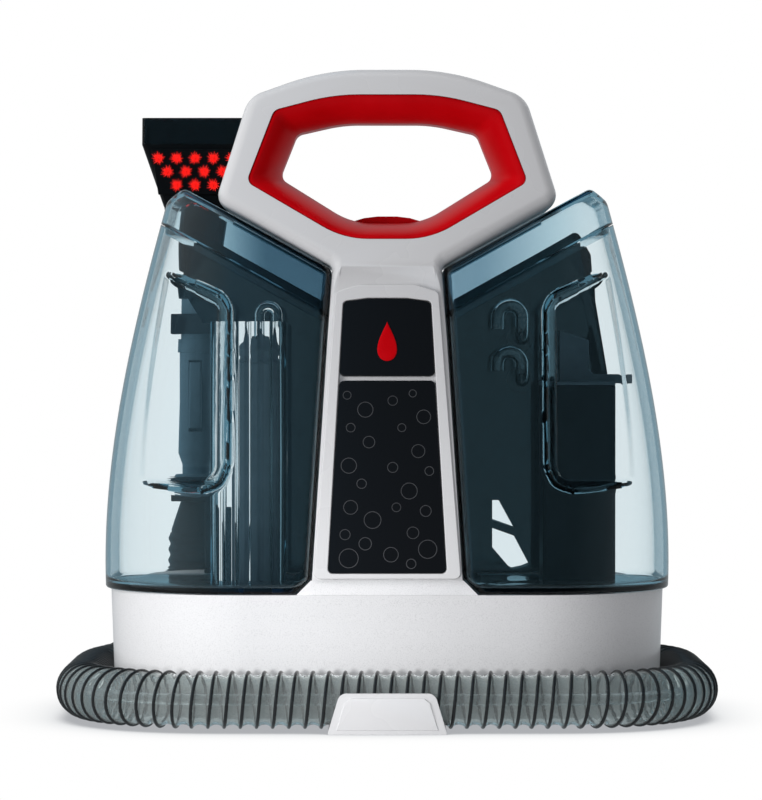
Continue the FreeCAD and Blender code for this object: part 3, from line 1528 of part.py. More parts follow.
def exhaust_grille():
    """Slotted insert in the base's back wall."""
    body = body_of("exhaust_grille")
    pad(body, rounded_rectangle(body, "XZ_Plane", "grille_long / 2 - play", "grille_tall / 2 - play", "2",
                                "4 - base_half_depth_low", ("0 - grille_x", "grille_z")), "4", back=True)
    count = int(value("grille_slots"))
    for index in range(count):
        middle = f"grille_long * ({index + 0.5} / {count} - 0.5) - grille_x"
        slot = rounded_rectangle(body, "XZ_Plane", "1.7", "grille_tall / 2 - 3", "1.6",
                                 "5 - base_half_depth_low", (middle, "grille_z"))
        pocket(body, slot, "8")
    return keep("exhaust_grille", body)


# The hose: ribbed, wrapped once round the base, and raised to the wand at the rear left.

HOSE_RISE = [(-160.5, 75.9, 17), (-142, 93.8, 23.4), (-124.8, 102.2, 37.6), (-114, 104, 58.6)]
HOSE_RISE_START = 48.9
HOSE_RISE_RADII = [84, 46, 46, 46, 46]


def hose_points():
    """Centre line of the hose from the port to the wand, chosen by hand round the base's corners."""
    z, side, front = value("hose_z"), value("hose_side_x"), value("hose_front_y")
    points = [
        (value("port_end_x + play"), front, z), (side, front, z), (side, -front, z), (-side, -front, z),
        (-side, HOSE_RISE_START, z),
    ]
    points += HOSE_RISE
    points.append((-value("wand_x"), value("wand_y"), value("wand_cuff_low_z")))
    return points, [value("hose_corner")] * 3 + HOSE_RISE_RADII


def hose():
    """Ribbed hose with its bore: four circles a rib, ruled from one to the next."""
    points, arc_radii = hose_points()
    edges = route(points, arc_radii)
    total = sum(edge.Length for edge in edges)
    count = int((total - value("cuff_long")) / value("hose_pitch"))
    pitch = value("hose_pitch")
    first = (total - count * pitch) / 2
    root, crest = value("hose_root"), value("hose_crest")
    lengths, radii = [0], [root]
    ramp, flat = value("hose_ramp"), value("hose_crest_long")
    for index in range(count):
        start = first + index * pitch + (pitch - flat) / 2 - ramp
        lengths += [start, start + ramp, start + ramp + flat, start + ramp * 2 + flat]
        radii += [root, crest, crest, root]
    lengths.append(total)
    radii.append(root)
    skin = ruled_skin(edges, lengths, radii)
    inside = even_lengths(edges)
    bore = ruled_skin(edges, inside, [value("hose_bore")] * len(inside))
    print("hose length", round(total, 1), "ribs", count)
    return keep("hose", feature("hose_solid", skin.cut(bore)))


def solution_tube():
    """Thin water tube that runs inside the port and the hose from the pump into the wand."""
    points, radii = hose_points()
    port = [(value("port_x"), 74, value("hose_z")), (value("port_x"), value("hose_front_y"), value("hose_z"))]
    points[-1] = (points[-1][0], points[-1][1], value("wand_low_z + 30"))
    edges = route(port + points[1:], [value("port_bend")] + radii)
    return keep("solution_tube", feature("solution_tube_solid", tube(edges, value("solution_round"))))


def hose_port():
    """Elbow out of the base's back wall, with a flange on the wall."""
    x, z, y = value("port_x"), value("hose_z"), value("hose_front_y")
    edges = route([(x, 91, z), (x, y, z), (value("port_end_x"), y, z)], [value("port_bend")])
    outer = tube(edges, value("port_round"))
    at = Vector(x, value("base_half_depth_low"), z)
    flange = Part.makeCylinder(value("port_round + 3"), 2.4, at, Vector(0, 1, 0))
    return keep("hose_port", feature("hose_port_solid", outer.fuse(flange).cut(tube(edges, value("port_round - 2")))))


def cuff_profile():
    return [
        ("port_round + play", "0"), ("cuff_round - 1", "0"), ("cuff_round", "1"), ("cuff_round", "cuff_long - 2"),
        ("cuff_round - 1", "cuff_long"), ("hose_root + play", "cuff_long"), ("hose_root + play", "cuff_long / 2"),
        ("port_round + play", "cuff_long / 2"),
    ]


def machine_cuff():
    at = ("port_end_x + play - cuff_long / 2", "hose_front_y", "hose_z")
    return keep("machine_cuff", turned("machine_cuff", cuff_profile(), at, (0, 1, 0), "90"))


def wand_cuff():
    """Tapered cuff that swivels the hose into the wand."""
    low = "wand_cuff_low_z"
    profile = [
        ("hose_root + play", f"{low} - 8"), ("cuff_round", f"{low} - 8"), ("cuff_round", f"{low} + 2"),
        ("wand_half_wide - 0.6", "wand_low_z - 6"), ("wand_half_wide - 0.6", "wand_low_z"),
        ("duct_round + 0.9", "wand_low_z"), ("duct_round + 0.9", "wand_low_z - 6"),
        ("hose_bore", f"{low} + play"), ("hose_root + play", f"{low} + play"),
    ]
    return keep("wand_cuff", turned("wand_cuff", profile, ("0 - wand_x", "wand_y", "0")))


# The wand and its tool, standing at the rear left with the brush to the front.

def wand_section(z, half_x, half_y, sharp=0.55):
    radius = min(half_x, half_y) * sharp * 1.6
    x, y = -value("wand_x"), value("wand_y")
    return rounded_wire([
        (Vector(x - half_x, y - half_y, z), radius), (Vector(x + half_x, y - half_y, z), radius),
        (Vector(x + half_x, y + half_y, z), radius), (Vector(x - half_x, y + half_y, z), radius),
    ])


def wand_body():
    """The wand's outer form: a flange, a waist, a grip with a lip over it and a neck that takes the tool."""
    wide, deep = value("wand_half_wide"), value("wand_half_deep")
    waist, neck, neck_deep = value("wand_waist"), value("wand_neck"), value("wand_neck_deep")
    low, grip_low = value("wand_low_z"), value("wand_grip_low_z")
    lip, lip_top = value("wand_lip_z"), value("wand_lip_z + wand_lip_tall")
    flange = value("flange_half")
    spans = [
        [(low, waist, deep - 3), (value("wand_waist_z"), waist, deep - 3), (grip_low, wide, deep - 0.4)],
        [(grip_low, wide, deep - 0.4), ((grip_low + lip) / 2, wide - 0.8, deep - 1.6), (lip, wide - 0.6, deep - 1)],
        [(lip, wide + 0.6, deep), (lip_top, wide + 0.4, deep - 0.4)],
        [(lip_top, neck, neck_deep), (value("wand_top_z"), neck, neck_deep)],
        [(value("flange_low_z"), flange, deep + 1), (value("flange_top_z"), flange - 1, deep)],
    ]
    solids = [Part.makeLoft([wand_section(*level) for level in span], True, True) for span in spans]
    return solids[0].multiFuse(solids[1:])


def trigger_room(grow):
    """The slot in the wand's front that the trigger swings in."""
    half = value("trigger_half") + grow
    low, top = value("trigger_low_z") - grow - 2, value("trigger_top_z") + grow + 1
    x, front = -value("wand_x"), value("wand_y - wand_half_deep - 6")
    back = value("wand_y + duct_back - duct_round") - 1
    return Part.makeBox(half * 2, back - front, top - low, Vector(x - half, front, low))


def wand_shells():
    """The wand's two halves, with the air duct, the tool's socket and the trigger's pin."""
    x, y = -value("wand_x"), value("wand_y")
    low, tall = value("wand_low_z"), value("wand_top_z - wand_low_z")
    solid = wand_body().cut(trigger_room(value("play")))
    bore = Part.makeCylinder(value("spigot_round + play / 3"), value("spigot_deep") + 1,
                             Vector(x, y, value("wand_top_z - spigot_deep")))
    duct = Part.makeCylinder(value("duct_round"), tall, Vector(x, y + value("duct_back"), low))
    solid = solid.cut(bore).cut(duct)
    half = value("trigger_half") + 2
    pin = Part.makeCylinder(value("pin_round"), half * 2, Vector(x - half, y - value("pin_front"), value("pin_z")),
                            Vector(1, 0, 0))
    solid = solid.fuse(pin)
    middle = Vector(x, y, 0)
    keep("wand_shell_left", feature("wand_left_solid", solid.cut(half_space(middle, Vector(1, 0, 0)))))
    keep("wand_shell_right", feature("wand_right_solid", solid.cut(half_space(middle, Vector(-1, 0, 0)))))


def trigger():
    """Curved lever in the wand's front, hung on a pin at its top."""
    body = body_of("trigger")
    front = "(wand_half_deep + trigger_out)"
    profile = [
        (f"wand_y - {front} + 6", "trigger_top_z"), ("wand_y - wand_half_deep + 7", "trigger_top_z"),
        ("wand_y - wand_half_deep + 5", "trigger_low_z + 6"), ("wand_y - wand_half_deep + 1", "trigger_low_z"),
        (f"wand_y - {front}", "trigger_low_z"), (f"wand_y - {front} + 1.4", "trigger_low_z + 9"),
        (f"wand_y - {front} + 3.6", "trigger_low_z + 20"),
    ]
    pad(body, outline(body, "YZ_Plane", profile, "0 - wand_x"), "trigger_half * 2", midplane=True)
    front = value("wand_y - wand_half_deep")
    round_edges(body, "1.2", lambda edge: edge.BoundBox.YMax < front and not along(edge, (1, 0, 0)))
    bore = circles(body, "YZ_Plane", [("wand_y - pin_front", "pin_z")], "pin_round + 0.06", "0 - wand_x")
    pocket(body, bore, "trigger_half * 3", midplane=True)
    return keep("trigger", body)


def tool_section(z, half_x, half_y, radius=3):
    x, y = -value("wand_x"), value("wand_y")
    return rounded_wire([
        (Vector(x - half_x, y - half_y, z), radius), (Vector(x + half_x, y - half_y, z), radius),
        (Vector(x + half_x, y + half_y, z), radius), (Vector(x - half_x, y + half_y, z), radius),
    ])


def tool_body():
    """Black tool: spigot, neck, flared fan and flat nozzle head with its slot at the top."""
    neck, neck_deep = value("neck_half"), value("neck_half_deep")
    deep = value("head_half_deep")
    top, full, low = value("head_top_z"), value("head_full_z"), value("head_low_z")
    start = value("wand_top_z + play")
    x, y = -value("wand_x"), value("wand_y")
    narrow, wide = value("head_low_half"), value("head_half")
    stem = Part.makeLoft([tool_section(start, neck, neck_deep, 6), tool_section(low, narrow, deep, 6)], True, True)
    flare = Part.makeLoft([tool_section(low, narrow, deep), tool_section(full, wide, deep)], True, True)
    head = Part.makeLoft([tool_section(full, wide, deep), tool_section(top, wide, deep - 2)], True, True)
    spigot_at = Vector(x, y, start - value("spigot_deep") + 1)
    spigot = Part.makeCylinder(value("spigot_round"), value("spigot_deep"), spigot_at)
    solid = stem.fuse(flare).fuse(head).fuse(spigot)
    slot_half, slot_deep = value("head_half - 4"), value("nozzle_slot / 2")
    slot = Part.makeLoft([
        tool_section(low - 2, value("spigot_round"), slot_deep, 1), tool_section(full - 2, slot_half, slot_deep, 1),
        tool_section(top + 2, slot_half, slot_deep, 1),
    ], True, True)
    throat = Part.makeCylinder(value("spigot_round") - 2, low - start + value("spigot_deep"),
                               Vector(x, y, start - value("spigot_deep")))
    button = Part.makeBox(value("button_half + play") * 2, 9, value("button_tall + play * 2"), Vector(
        x - value("button_half + play"), y + value("neck_half_deep") - 5, value("button_z - play")))
    return keep("tool_body", feature("tool_body_solid", solid.cut(slot).cut(throat).cut(button)))


def front_plate(node, half_low, half_high, low, high, thick):
    """A plate on the tool head's front face, a trapezium with upright corners rounded."""
    body = body_of(node)
    points = [
        (f"0 - wand_x - ({half_low})", low), (f"{half_low} - wand_x", low),
        (f"{half_high} - wand_x", high), (f"0 - wand_x - ({half_high})", high),
    ]
    pad(body, outline(body, "XZ_Plane", points, "head_half_deep - wand_y"), thick)
    return keep(node, body)


def bristles():
    """Tufts in three staggered rows, five, four and three."""
    tufts = []
    for line, count in enumerate((5, 4, 3)):
        for index in range(count):
            x = f"0 - wand_x + ({index} - ({count} - 1) / 2) * tuft_pitch"
            at = (x, "brush_y", f"tuft_top_z - {line} * tuft_row_pitch")
            tufts.append(rod("tuft", at, "tuft_round", "tuft_long", (1, 0, 0), "90"))
    return keep("bristles", group_of("tuft_group", tufts))


def spray_tip():
    """Brass-like spray nozzle under the head's front edge."""
    at = ("0 - wand_x", "wand_y - head_half_deep", "head_low_z + spray_round + 0.3")
    body = rod("tip_body", at, "spray_round", "5", (1, 0, 0), "90")
    tip = rod("tip_end", at, "spray_round * 0.6", "8", (1, 0, 0), "90")
    return keep("spray_tip", fuse("spray_tip_solid", [body, tip]))


def release_button():
    """Push button in the tool's neck, at the back."""
    item = box("button_block", ("0 - wand_x - button_half", "wand_y + neck_half_deep - 2", "button_z"),
               ("button_half * 2", "button_travel + 2.6", "button_tall"))
    return keep("release_button", item)


def tool_holder():
    """Forked arm on the rear housing that holds the wand's top."""
    low, high = value("holder_low_z"), value("holder_high_z")
    x, y = -value("wand_x"), value("wand_y")
    half, gap = value("wand_neck") + 6, value("wand_neck") + 0.6
    start = value("rear_depth")
    block = Part.makeBox(half * 2, y + 8 - start, high - low, Vector(x - half, start, low))
    space = Part.makeBox(gap * 2, y, high - low, Vector(x - gap, y - value("wand_neck_deep") - 0.6, low))
    return keep("tool_holder", feature("tool_holder_solid", block.cut(space)))


def wand_rest():
    """Forked foot on the base behind the tank; the wand's flange stands on it."""
    x, y = -value("wand_x"), value("wand_y")
    top, thick = value("flange_low_z"), value("rest_thick")
    front, leg_wide = value("rest_front"), value("rest_leg")
    left, leg_left = x - value("flange_half") - 1, x + value("flange_half") / 2
    wide = leg_left + leg_wide - left
    low = value("base_top_z")
    shelf = Part.makeBox(wide, y + 16 - front, thick, Vector(left, front, top - thick))
    hole = value("wand_half_wide") + 0.6
    fork = Part.makeCylinder(hole, thick, Vector(x, y, top - thick))
    slot = Part.makeBox(hole * 2, 40, thick, Vector(x - hole, y, top - thick))
    leg = Part.makeBox(leg_wide, thick, top - low, Vector(leg_left, front, low))
    foot = Part.makeBox(leg_wide, thick * 2.6, thick, Vector(leg_left, front - thick * 1.6, low))
    return keep("wand_rest", feature("wand_rest_solid", shelf.cut(fork).cut(slot).fuse(leg).fuse(foot)))


def housing_screws():
    """Screws that close the housing from the back."""
    spots = [(f"{x} 24", "rear_depth + screw_head_tall", height) for x in ("0 -", "0 +") for height in ("96", "200")]
    return keep("housing_screws", group_of("housing_screw_group", [
        rod("screw_dome", spot, "screw_head_round", "screw_head_tall", (1, 0, 0), "90") for spot in spots]))


# Build every sub-part, then check and write them.

MAKERS = [
    base_shell, bottom_plate, rubber_feet, base_screws, front_housing, rear_handle, handle_grip, power_switch,
    switch_body, upper_panel, lower_panel, panel_bezel, tanks, tank_baffle, pickup_filter, vent_tube, tank_cap,
    outlet_valve, separator_box, splash_guard, tank_float, float_rod, vacuum_motor, motor_mount, fan_impeller,
    fan_case, tank_socket, pump, pump_tubes, rear_housing, port_gaskets, cord_gland, exhaust_grille, hose, hose_port,
    machine_cuff, wand_cuff, solution_tube, wand_shells, trigger, tool_body, bristles, spray_tip, release_button,
    tool_holder, wand_rest, housing_screws,
]


def finish():
    """Recompute, check every object, and write one STEP file for each sub-part."""
    doc.recompute()
    for item in doc.Objects:
        faults = [state for state in item.State if state in ("Invalid", "Error")]
        if faults:
            raise RuntimeError(f"{item.Name} ({item.Label}): {faults}")
    for node, item in subparts.items():
        if item.Shape.isNull() or not item.Shape.isValid():
            raise RuntimeError(f"{node} has no valid shape")
    os.makedirs("parts", exist_ok=True)
    for node, item in subparts.items():
        item.Shape.exportStep(f"parts/{node}.step")
    print(len(subparts), "sub-parts written")


for maker in MAKERS:
    maker()
hose_clip("front_hose_clip", -1, "0")
hose_clip("rear_hose_clip", 1, "rear_clip_x")
elbow("intake_elbow", "hook_high_z", "hook_rise")
elbow("outlet_elbow", "hook_low_z", "hook_rise - 3")
cord_hook("cord_hook_fixed", "hook_fix_z", "0")
cord_hook("cord_hook_swivel", "hook_swivel_z", "180")
front_plate("nozzle_window", "head_half - 1.5", "head_half - 1.5", "head_full_z", "head_top_z - 1", "window_thick")
front_plate("brush_plate", "head_low_half + 3", "brush_half", "brush_low_z", "brush_high_z", "brush_thick")
finish()
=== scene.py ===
# %% [markdown]
# # A portable spot extractor
# This machine cleans spots from carpets and seats. A clear tank for clean water stands on its left and one
# for dirty water on its right. Between them a white column carries a handle that is lined in red, and a
# ribbed hose wraps once round the base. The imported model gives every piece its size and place. This lesson
# gives each one its finish, and makes again the few that need more than a solid can hold.

import json
import math

import bmesh
import bpy
import numpy as np
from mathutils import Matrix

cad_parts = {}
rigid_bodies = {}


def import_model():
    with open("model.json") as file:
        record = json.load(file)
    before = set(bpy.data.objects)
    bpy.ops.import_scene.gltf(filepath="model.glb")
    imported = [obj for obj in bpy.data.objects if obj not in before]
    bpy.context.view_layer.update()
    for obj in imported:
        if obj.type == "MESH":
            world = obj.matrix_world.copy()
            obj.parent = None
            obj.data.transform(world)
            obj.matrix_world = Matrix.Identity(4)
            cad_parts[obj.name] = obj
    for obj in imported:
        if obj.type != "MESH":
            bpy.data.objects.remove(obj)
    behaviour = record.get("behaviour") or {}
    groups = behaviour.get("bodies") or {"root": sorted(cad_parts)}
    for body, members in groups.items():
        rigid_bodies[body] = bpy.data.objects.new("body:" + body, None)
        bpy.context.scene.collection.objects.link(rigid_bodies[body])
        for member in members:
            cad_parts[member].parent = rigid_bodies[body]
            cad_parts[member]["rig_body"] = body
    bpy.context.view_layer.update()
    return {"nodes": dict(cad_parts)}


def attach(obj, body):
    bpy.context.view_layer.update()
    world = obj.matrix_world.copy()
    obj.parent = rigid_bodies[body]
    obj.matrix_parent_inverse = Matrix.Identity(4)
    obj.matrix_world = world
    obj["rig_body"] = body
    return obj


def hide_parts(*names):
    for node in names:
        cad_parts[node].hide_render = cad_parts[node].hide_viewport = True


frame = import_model()
print("packed nodes:", len(frame["nodes"]))

# %% [markdown]
# ## Sizes that the lesson shares
# The model is in metres and the machine's own sizes are easier to read in millimetres, so one factor
# changes them. The column leans back by the same angle as in the solid, because the tanks stand beside it
# and the panel's print lies on it.

# %% Name the shared sizes
MM = 0.001
COLUMN_FOOT = np.array([0.0, -90.6, 80.0])
COLUMN_LEAN = math.radians(9.84)
PANEL_OUT = 2.4
WAND_X = -114.0

# %% [markdown]
# ## The camera
# The photograph looks at the front from about two metres away and from just above the middle of the
# machine, so its sides look almost parallel. A long lens at that distance gives the same outline. The lens
# is set by the ratio of the machine's width to the photograph's long side.

# %% Place the camera
CAMERA_AWAY = 2.0
CAMERA_HIGH = 0.1965
CAMERA_SIDE = -0.0034
CAMERA_DIP = math.radians(0.542)
LENS = 157.9

camera_data = bpy.data.cameras.new("view_camera")
camera_data.lens = LENS
camera_data.sensor_width = 36.0
camera_data.clip_end = 30.0
camera = bpy.data.objects.new("view_camera", camera_data)
camera.location = (CAMERA_SIDE, -CAMERA_AWAY, CAMERA_HIGH)
camera.rotation_euler = (math.pi / 2 - CAMERA_DIP, 0.0, 0.0)
bpy.context.scene.collection.objects.link(camera)
bpy.context.scene.camera = camera

# %% [markdown]
# ## Surfaces from arrays
# A smooth piece is easiest to describe as a grid of points that two numbers sweep over: one runs along the
# piece and the other runs round it. One helper turns any such grid into a mesh. The grid may close round
# either way, and its two ends may be capped, so a tube comes out as a closed solid.

# %% Turn a grid of points into a mesh
def add_piece(name, points, faces, smooth=True):
    """Make a mesh object from an array of points in metres and a list of faces."""
    mesh = bpy.data.meshes.new(name)
    mesh.from_pydata(np.asarray(points, float).reshape(-1, 3).tolist(), [], faces)
    mesh.validate()
    mesh.shade_smooth() if smooth else mesh.shade_flat()
    piece = bpy.data.objects.new(name, mesh)
    bpy.context.scene.collection.objects.link(piece)
    return piece


def grid_faces(rows, columns, close_rows=False, close_columns=True, first=0):
    """Quads between neighbouring rows and columns; a closed way joins its last line to its first."""
    row = np.arange(rows if close_rows else rows - 1)[:, None]
    column = np.arange(columns if close_columns else columns - 1)[None, :]
    next_row, next_column = (row + 1) % rows, (column + 1) % columns
    corners = [row * columns + column, row * columns + next_column,
               next_row * columns + next_column, next_row * columns + column]
    return (np.stack(np.broadcast_arrays(*corners), -1).reshape(-1, 4) + first).tolist()


def capped_faces(rows, columns, first=0):
    """A grid that is closed round its columns, with one face over each end."""
    faces = grid_faces(rows, columns, first=first)
    faces.append([first + index for index in range(columns - 1, -1, -1)])
    faces.append([first + (rows - 1) * columns + index for index in range(columns)])
    return faces


def finished(piece, material):
    """Turn every face of a closed piece outwards and give it its finish."""
    shape = bmesh.new()
    shape.from_mesh(piece.data)
    bmesh.ops.recalc_face_normals(shape, faces=shape.faces)
    shape.to_mesh(piece.data)
    shape.free()
    piece.data.materials.append(material)
    return piece


# %% [markdown]
# ## Softened edges on the moulded pieces
# A moulded piece never has a knife edge: the mould gives every corner a small radius that catches the
# light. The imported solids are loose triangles, so a copy of each is welded and its flat areas are joined
# into single faces. A Bevel modifier then rounds what is left of the sharp edges, and the copy stands in
# for the solid.

# %% Copy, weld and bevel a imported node
WELD = 1e-6
FLAT = math.radians(0.5)
SHARP = math.radians(32.0)
BEVEL_SEGMENTS = 2


def softened(node, width):
    """A welded copy of a node, whose sharp edges are rounded by a width in millimetres."""
    source = frame["nodes"][node]
    shape = bmesh.new()
    shape.from_mesh(source.data)
    bmesh.ops.remove_doubles(shape, verts=shape.verts, dist=WELD)
    bmesh.ops.dissolve_limit(shape, angle_limit=FLAT, verts=shape.verts, edges=shape.edges)
    mesh = bpy.data.meshes.new(node + "_moulded")
    shape.to_mesh(mesh)
    shape.free()
    mesh.materials.clear()
    mesh.shade_smooth()
    mesh.set_sharp_from_angle(angle=SHARP)
    piece = bpy.data.objects.new(node + "_moulded", mesh)
    bpy.context.scene.collection.objects.link(piece)
    if width:
        bevel = piece.modifiers.new("edges", "BEVEL")
        bevel.width = width * MM
        bevel.segments = BEVEL_SEGMENTS
        bevel.limit_method = "ANGLE"
        bevel.angle_limit = SHARP
        bevel.harden_normals = True
    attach(piece, source["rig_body"])
    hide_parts(node)
    return piece


# %% [markdown]
# ## Materials from nodes
# Every finish starts from the Principled shader. Its plain values go on its own sockets. Small changes of
# colour, gloss and height come from noise that reads Object coordinates, so they stay on the piece when it
# moves. A few helpers are enough: one feeds sockets with values or with the outputs of other nodes, one lets
# noise vary a socket through a ramp, and one lets noise raise the surface.

# %% Make a Principled material
def set_socket(owner, socket, source):
    """Link a socket in a material or world to the output of another node, or give it a value."""
    if isinstance(source, bpy.types.NodeSocket):
        owner.node_tree.links.new(source, socket)
    else:
        socket.default_value = (*source, 1.0) if socket.type == "RGBA" else source


def feed(owner, node, **inputs):
    """Set the sockets of a node by their names."""
    for name, source in inputs.items():
        set_socket(owner, node.inputs[name.replace("_", " ").title().replace("Ior", "IOR")], source)
    return node


def add_node(owner, kind, **inputs):
    return feed(owner, owner.node_tree.nodes.new("ShaderNode" + kind), **inputs)


def new_finish(name, **values):
    """A material whose Principled shader has the given socket values; a colour is three numbers."""
    material = bpy.data.materials.new(name)
    material.use_nodes = True
    return material, feed(material, material.node_tree.nodes["Principled BSDF"], **values)


def noise_of(material, waves, detail, stretch=(1.0, 1.0, 1.0)):
    """Noise on Object coordinates, with so many waves to the metre."""
    place = add_node(material, "TexCoord").outputs["Object"]
    place = add_node(material, "Mapping", vector=place, scale=stretch).outputs["Vector"]
    return add_node(material, "TexNoise", vector=place, scale=waves, detail=detail).outputs["Fac"]


def ramp_of(owner, source, stops):
    """A colour ramp whose stops are pairs of a position and a colour or a grey."""
    ramp = add_node(owner, "ValToRGB", fac=source)
    while len(ramp.color_ramp.elements) < len(stops):
        ramp.color_ramp.elements.new(0.5)
    for element, (position, colour) in zip(ramp.color_ramp.elements, stops):
        element.position = position
        element.color = (*colour, 1.0) if hasattr(colour, "__len__") else (colour, colour, colour, 1.0)
    return ramp.outputs["Color"]


def bump_of(material, shader, source, strength, depth):
    """Raise the surface by a source, a depth in millimetres at full strength."""
    bump = add_node(material, "Bump", strength=strength, distance=depth * MM, height=source)
    feed(material, shader, normal=bump.outputs["Normal"])


def varied(material, shader, socket, stops, waves, detail):
    """Let noise vary a socket of the shader through a ramp."""
    feed(material, shader, **{socket: ramp_of(material, noise_of(material, waves, detail), stops)})


def grained(material, shader, waves, strength, depth, detail=2.0):
    """Let noise raise the surface, by a depth in millimetres at full strength."""
    bump_of(material, shader, noise_of(material, waves, detail), strength, depth)


# %% [markdown]
# ## White mouldings
# The handle and column are glossy white plastic with the very slight waviness of a large moulding. The base
# has grey flecks finer than a pinhead in the same plastic. A fine noise through a steep ramp leaves small
# separate specks, and a slow noise varies the gloss.

# %% Make the white plastics
def white_plastic():
    material, shader = new_finish("white_moulding", base_color=(0.74, 0.74, 0.75), roughness=0.26,
                                  coat_weight=0.35, coat_roughness=0.08)
    varied(material, shader, "roughness", [(0.3, 0.22), (0.7, 0.31)], waves=30.0, detail=2.0)
    grained(material, shader, waves=1400.0, strength=0.12, depth=0.03)
    return material


def flecked_plastic():
    material, shader = new_finish("flecked_moulding", base_color=(0.78, 0.78, 0.79), roughness=0.3,
                                  coat_weight=0.3, coat_roughness=0.1)
    flecks = [(0.30, (0.66, 0.66, 0.67)), (0.42, (0.78, 0.78, 0.79)), (0.7, (0.82, 0.82, 0.83))]
    varied(material, shader, "base_color", flecks, waves=2100.0, detail=1.0)
    grained(material, shader, waves=1800.0, strength=0.15, depth=0.03)
    return material


# %% [markdown]
# ## Red grip and switch
# The lining of the handle is a soft red plastic with a silky gloss. A fine grain keeps its highlight from
# looking like paint, and slow noise darkens it a little where hands would polish it.

# %% Make the red plastics
def red_soft(name="red_grip", rough=0.3):
    material, shader = new_finish(name, base_color=(0.6, 0.002, 0.005), roughness=rough,
                                  specular_ior_level=0.05)
    worn = [(0.3, (0.56, 0.001, 0.004)), (0.7, (0.63, 0.003, 0.007))]
    varied(material, shader, "base_color", worn, waves=45.0, detail=3.0)
    grained(material, shader, waves=2200.0, strength=0.25, depth=0.04)
    return material


# %% [markdown]
# ## Black and grey plastics
# The front panels are as glossy as glass, while the back, the wand and the pieces inside are moulded with a
# fine spark texture. The same function makes each of them from a colour, a gloss and a grain.

# %% Make the dark plastics
TONE_SHARES = (0.86, 1.12)


def moulded_plastic(name, colour, rough, grain=0.2, shine=0.25):
    """Plastic with a spark texture; grain is the strength of its bumps, shine that of its reflections."""
    material, shader = new_finish(name, base_color=colour, roughness=rough, specular_ior_level=shine)
    darker, lighter = [tuple(min(part * share, 1.0) for part in colour) for share in TONE_SHARES]
    varied(material, shader, "base_color", [(0.3, darker), (0.7, lighter)], waves=70.0, detail=4.0)
    grained(material, shader, waves=1600.0, strength=grain, depth=0.05)
    return material


def panel_black():
    material, shader = new_finish("panel_black", base_color=(0.006, 0.006, 0.007), roughness=0.1,
                                  specular_ior_level=0.4)
    grained(material, shader, waves=25.0, strength=0.05, depth=0.05, detail=1.0)
    return material


# %% [markdown]
# ## Clear tanks
# Both tanks are moulded from clear, slightly blue plastic. Light goes through the walls and bends a little,
# which draws the bright and dark lines along their edges. The Principled shader's transmission does that
# with real walls on the inside and outside of the solid, and a faint waviness breaks up the reflections. An
# absorbing volume gives the tint, so a long way through an edge looks deeper than a way through the wall. A
# lid's colour is painted darker towards the column: painted shade where the dark housing behind shows
# through.

# %% Make the clear plastics
CLEAR = (1.0, 1.0, 1.0)
TANK_BLUE = (0.10, 0.50, 0.62)
TANK_INDEX = 1.42
WALL_DENSITY, LID_DENSITY, INNER_DENSITY = 60.0, 46.0, 40.0
LID_OUTER_END, LID_COLUMN_END = 0.13, 0.03


def clear_plastic(name, tint, rough, index=1.35):
    material, shader = new_finish(name, base_color=tint, roughness=rough, transmission_weight=1.0, ior=index)
    grained(material, shader, waves=22.0, strength=0.12, depth=0.25, detail=1.0)
    return material


def tank_plastic(name, density, rough=0.0):
    """Clear plastic that is blue inside: the further light travels in it, the more of it is lost."""
    material = clear_plastic(name, CLEAR, rough, TANK_INDEX)
    inside = add_node(material, "VolumeAbsorption", color=TANK_BLUE, density=density)
    feed(material, material.node_tree.nodes["Material Output"], volume=inside.outputs["Volume"])
    return material


def lid_with_painted_shade(name, stops):
    """Tank plastic whose colour ramps from the lid's outer end, at nought, to painted shade at the column, at
    one.
    """
    material = tank_plastic(name, LID_DENSITY)
    place = add_node(material, "TexCoord").outputs["Object"]
    away = add_node(material, "Math", value=add_node(material, "SeparateXYZ", vector=place).outputs["X"])
    away.operation = "ABSOLUTE"
    share = add_node(material, "MapRange", value=away.outputs[0], from_min=LID_OUTER_END,
                     from_max=LID_COLUMN_END).outputs[0]
    feed(material, material.node_tree.nodes["Principled BSDF"], base_color=ramp_of(material, share, stops))
    return material


def hose_plastic():
    """A skin that passes most of the light and scatters a little of it."""
    material, shader = new_finish("hose_skin_clear", base_color=(0.85, 0.91, 0.90), roughness=0.08,
                                  transmission_weight=0.88, ior=1.3)
    grained(material, shader, waves=30.0, strength=0.2, depth=0.2, detail=1.0)
    return material


# %% [markdown]
# ## Metal, rubber and bristle finishes
# The motor can and the screws are drawn steel with fine lines along them. Rubber is nearly black and dull.
# Nylon tufts are bright red and a little shiny, and a faint glow, painted light, lifts each fibre out of the
# shade so it shows against the dark brush plate.

# %% Make the remaining finishes
def drawn_steel():
    material, shader = new_finish("drawn_steel", base_color=(0.55, 0.56, 0.58), metallic=1.0, roughness=0.3)
    lines = noise_of(material, waves=60.0, detail=4.0, stretch=(40.0, 40.0, 1.0))
    feed(material, shader, roughness=ramp_of(material, lines, [(0.3, 0.24), (0.7, 0.4)]))
    bump_of(material, shader, lines, strength=0.1, depth=0.02)
    return material


def nylon_painted_glow(name, colour):
    # The emission is painted light: a faint glow that lifts the tufts out of the shade.
    material, shader = new_finish(name, base_color=colour, roughness=0.35, sheen_weight=0.1,
                                  emission_color=colour, emission_strength=0.3)
    grained(material, shader, waves=900.0, strength=0.15, depth=0.05)
    return material
